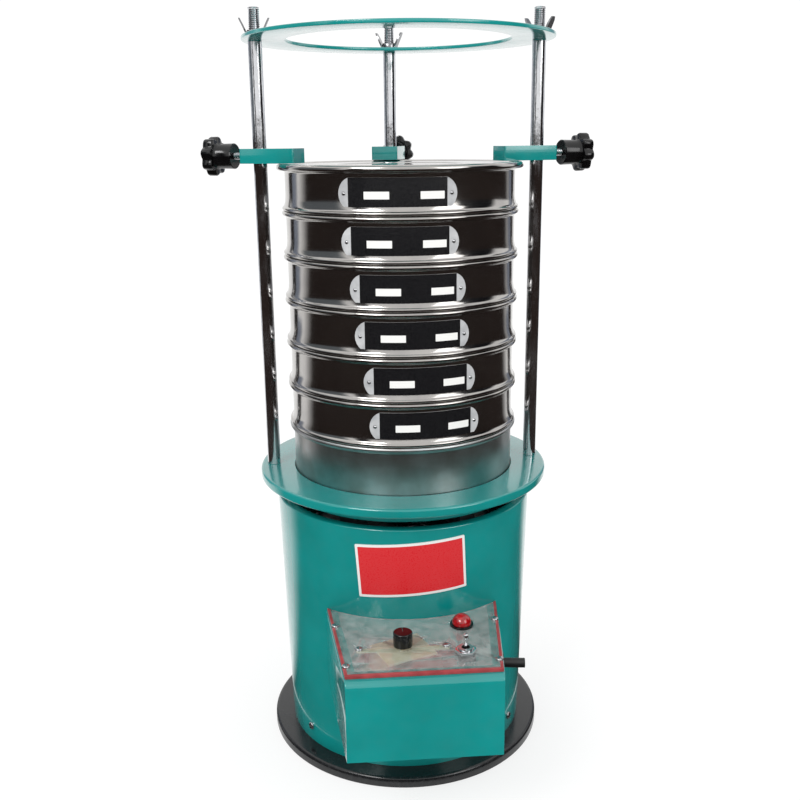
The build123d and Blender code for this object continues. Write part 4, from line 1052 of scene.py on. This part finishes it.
def soft_light(name, place, size, power):
    """Square soft light aimed at the machine's middle, in metres and watts, that cameras don't see."""
    data = bpy.data.lights.new(name, "AREA")
    data.shape = "RECTANGLE"
    data.size, data.size_y = size, size
    data.energy = power
    light = placed(name, data)
    light.matrix_world = aimed(place, Vector(place) - Vector((0, 0, 0.3)))
    light.visible_camera = False


def card(name, inner, outer, colour, start, end, soft):
    """Card between two circles and two angles, faded at its ends, that only reflections show."""
    steps = 48
    angles = [radians(start + (end - start) * k / steps) for k in range(steps + 1)]
    points = [polar(radius, angle, height) for radius, height in (inner, outer) for angle in angles]
    faces = [(k, k + 1, k + steps + 2, k + steps + 1) for k in range(steps)]
    material, tree = new_material(name + " card")
    # The gradient runs from 0 to 1 once round the axis, with 0.5 at the card's middle
    place = add_node(tree, "ShaderNodeTexCoord").outputs["Object"]
    turn = -radians(start + end) / 2
    turned = add_node(tree, "ShaderNodeVectorRotate", {"rotation_type": "Z_AXIS"}, Vector=place, Angle=turn)
    round_axis = add_node(tree, "ShaderNodeTexGradient", {"gradient_type": "RADIAL"}, Vector=turned)
    off = add_node(tree, "ShaderNodeMath", {"operation": "SUBTRACT"}, i0=round_axis.outputs["Fac"], i1=0.5)
    away = add_node(tree, "ShaderNodeMath", {"operation": "ABSOLUTE"}, i0=off)
    half = (end - start) / 2
    near, far = (half - soft) / 360, half / 360
    fade = add_node(tree, "ShaderNodeMapRange", i0=away, i1=near, i2=far, i3=1.0, i4=0.0)
    clear = add_node(tree, "ShaderNodeBsdfTransparent")
    glow = add_node(tree, "ShaderNodeEmission", Color=srgb(colour), Strength=1.0)
    mixed = add_node(tree, "ShaderNodeMixShader", i0=fade, i1=clear, i2=glow)
    add_node(tree, "ShaderNodeOutputMaterial", Surface=mixed)
    piece = stage_piece(name, points, faces, material)
    for use in ("camera", "diffuse", "shadow", "transmission"):
        setattr(piece, "visible_" + use, False)


def build_floor():
    """Pale floor that keeps the machine's shadow and fades to plain white round it."""
    material, tree = new_material("white sweep")
    pale = add_node(tree, "ShaderNodeBsdfDiffuse", Color=srgb("#fbfbfb"))
    white = add_node(tree, "ShaderNodeEmission", Color=srgb("#ffffff"), Strength=BACKGROUND)
    place = add_node(tree, "ShaderNodeTexCoord").outputs["Object"]
    away = add_node(tree, "ShaderNodeVectorMath", {"operation": "LENGTH"}, i0=place).outputs["Value"]
    near, far = FLOOR_FADE
    fade = add_node(tree, "ShaderNodeMapRange", i0=away, i1=near, i2=far, i3=0.7, i4=1.0)
    mixed = add_node(tree, "ShaderNodeMixShader", i0=fade, i1=pale, i2=white)
    add_node(tree, "ShaderNodeOutputMaterial", Surface=mixed)
    x = FLOOR_REACH
    stage_piece("floor", [(-x, -x, 0), (x, -x, 0), (x, x, 0), (-x, x, 0)], [(0, 1, 2, 3)], material)


def build_world(settings):
    """Even white room: plain white to the camera, to glass and nearly so in reflections, softer as light."""
    world = bpy.data.worlds.new("studio")
    bpy.context.scene.world = world
    world.use_nodes = True
    tree = world.node_tree
    tree.nodes.clear()
    ray = add_node(tree, "ShaderNodeLightPath").outputs
    seen = add_node(tree, "ShaderNodeMath", {"operation": "MULTIPLY"}, i0=ray["Is Glossy Ray"], i1=0.95)
    for use in ("Is Camera Ray", "Is Transmission Ray"):
        seen = add_node(tree, "ShaderNodeMath", {"operation": "MAXIMUM"}, i0=seen, i1=ray[use])
    dim, bright = settings.world_light, BACKGROUND
    level = add_node(tree, "ShaderNodeMapRange", i0=seen, i1=0.0, i2=1.0, i3=dim, i4=bright)
    back = add_node(tree, "ShaderNodeBackground", Color=srgb("#ffffff"), Strength=level)
    add_node(tree, "ShaderNodeOutputWorld", Surface=back)


def build_stage(settings):
    """Pale floor, white surroundings, soft studio lights and the camera."""
    scene = bpy.context.scene
    scene.view_settings.view_transform = "Standard"
    build_floor()
    build_world(settings)
    for values in CARDS:
        card(*values)
    soft_light("key", (-1.2, -1.5, 1.9), 0.9, settings.key_power)
    soft_light("fill", (1.3, -1.3, 1.2), 1.0, settings.key_power * 0.35)

    data = bpy.data.cameras.new("camera")
    data.sensor_width = SENSOR_WIDTH
    data.lens = FOCAL_SHARE * SENSOR_WIDTH
    data.clip_start = 0.01
    camera = placed("camera", data)
    place = polar(CAMERA_REACH, radians(CAMERA_ANGLE), CAMERA_HEIGHT) * MM
    turn = Matrix.Rotation(radians(CAMERA_HEADING), 4, "Z")
    turn = turn @ Matrix.Rotation(radians(90 - CAMERA_PITCH), 4, "X")
    turn = turn @ Matrix.Rotation(radians(CAMERA_ROLL), 4, "Z")
    camera.matrix_world = Matrix.Translation(place) @ turn
    scene.camera = camera


# Add-on: settings, operators and panel

def colour_setting(label, text, code):
    """Colour property that starts from a hex code."""
    return bpy.props.FloatVectorProperty(
        name=label, description=text, subtype="COLOR", size=4, min=0, max=1, default=srgb(code)
    )


class ShakerColours(bpy.types.PropertyGroup):
    """Colours of the painted pieces."""

    green: colour_setting("Enamel", "Green enamel", "#078d8a")
    green_shade: colour_setting("Enamel shade", "Darker clouds in the enamel", "#06807c")
    label_red: colour_setting("Label", "Red of the label plate", "#d8232a")


class ShakerSettings(bpy.types.PropertyGroup):
    """Numbers that shape the pieces and the light."""

    spring_turns: bpy.props.FloatProperty(
        name="Spring turns", description="Coils in each spring", default=4.5, min=1, max=12
    )
    knob_spin: bpy.props.FloatProperty(
        name="Knob turn", description="Angle the star knobs are left at", default=0.2, subtype="ANGLE"
    )
    world_light: bpy.props.FloatProperty(
        name="Room light", description="Strength of the light from all round", default=0.75, min=0, max=4
    )
    key_power: bpy.props.FloatProperty(
        name="Key light", description="Power of the main soft light", default=26.0, min=0, unit="POWER"
    )


class SHAKER_OT_base(bpy.types.Operator):
    """Build the base plate, casing, foot screws and label"""

    bl_idname = "shaker.base"
    bl_label = "Base and casing"

    def execute(self, context):
        build_base(context.scene.shaker_settings)
        return {"FINISHED"}


class SHAKER_OT_box(bpy.types.Operator):
    """Build the control box, its cover and its controls"""

    bl_idname = "shaker.box"
    bl_label = "Control box"

    def execute(self, context):
        build_box(context.scene.shaker_settings)
        return {"FINISHED"}


class SHAKER_OT_springs(bpy.types.Operator):
    """Build the coil springs under the table"""

    bl_idname = "shaker.springs"
    bl_label = "Springs"

    def execute(self, context):
        build_springs(context.scene.shaker_settings)
        return {"FINISHED"}


class SHAKER_OT_table(bpy.types.Operator):
    """Build the table, posts, nuts and top ring"""

    bl_idname = "shaker.table"
    bl_label = "Table and posts"

    def execute(self, context):
        build_table(context.scene.shaker_settings)
        return {"FINISHED"}


class SHAKER_OT_clamps(bpy.types.Operator):
    """Build the clamp arms, screws, star knobs and wing nuts"""

    bl_idname = "shaker.clamps"
    bl_label = "Clamps"

    def execute(self, context):
        build_clamps(context.scene.shaker_settings)
        return {"FINISHED"}


class SHAKER_OT_stack(bpy.types.Operator):
    """Build the sieves, nameplates, pan and lid"""

    bl_idname = "shaker.stack"
    bl_label = "Sieve stack"

    def execute(self, context):
        build_stack(context.scene.shaker_settings)
        return {"FINISHED"}


class SHAKER_OT_inside(bpy.types.Operator):
    """Give the pieces inside the casing their finishes"""

    bl_idname = "shaker.inside"
    bl_label = "Inside"

    def execute(self, context):
        build_inside(context.scene.shaker_settings)
        return {"FINISHED"}


class SHAKER_OT_stage(bpy.types.Operator):
    """Build the floor, the light and the camera"""

    bl_idname = "shaker.stage"
    bl_label = "Stage"

    def execute(self, context):
        build_stage(context.scene.shaker_settings)
        return {"FINISHED"}


OPERATORS = (
    SHAKER_OT_base,
    SHAKER_OT_box,
    SHAKER_OT_springs,
    SHAKER_OT_table,
    SHAKER_OT_clamps,
    SHAKER_OT_stack,
    SHAKER_OT_inside,
    SHAKER_OT_stage,
)


class SHAKER_PT_panel(bpy.types.Panel):
    """Settings and a button for every group of the sieve shaker."""

    bl_label = "Sieve shaker"
    bl_idname = "SHAKER_PT_panel"
    bl_space_type = "VIEW_3D"
    bl_region_type = "UI"
    bl_category = "Shaker"

    def draw(self, context):
        layout = self.layout
        for holder in (context.scene.shaker_colours, context.scene.shaker_settings):
            for key in holder.bl_rna.properties.keys():
                if key not in ("rna_type", "name"):
                    layout.prop(holder, key)
        for operator in OPERATORS:
            layout.operator(operator.bl_idname)


CLASSES = (ShakerColours, ShakerSettings, *OPERATORS, SHAKER_PT_panel)


def register():
    """Adds the classes and the scene's settings."""
    for cls in CLASSES:
        bpy.utils.register_class(cls)
    bpy.types.Scene.shaker_colours = bpy.props.PointerProperty(type=ShakerColours)
    bpy.types.Scene.shaker_settings = bpy.props.PointerProperty(type=ShakerSettings)


def unregister():
    """Takes them away again."""
    del bpy.types.Scene.shaker_settings
    del bpy.types.Scene.shaker_colours
    for cls in reversed(CLASSES):
        bpy.utils.unregister_class(cls)


def main():
    """Builds everything."""
    register()
    bpy.ops.shaker.base()
    bpy.ops.shaker.box()
    bpy.ops.shaker.springs()
    bpy.ops.shaker.table()
    bpy.ops.shaker.clamps()
    bpy.ops.shaker.stack()
    bpy.ops.shaker.inside()
    bpy.ops.shaker.stage()


if __name__ == "__main__":
    main()
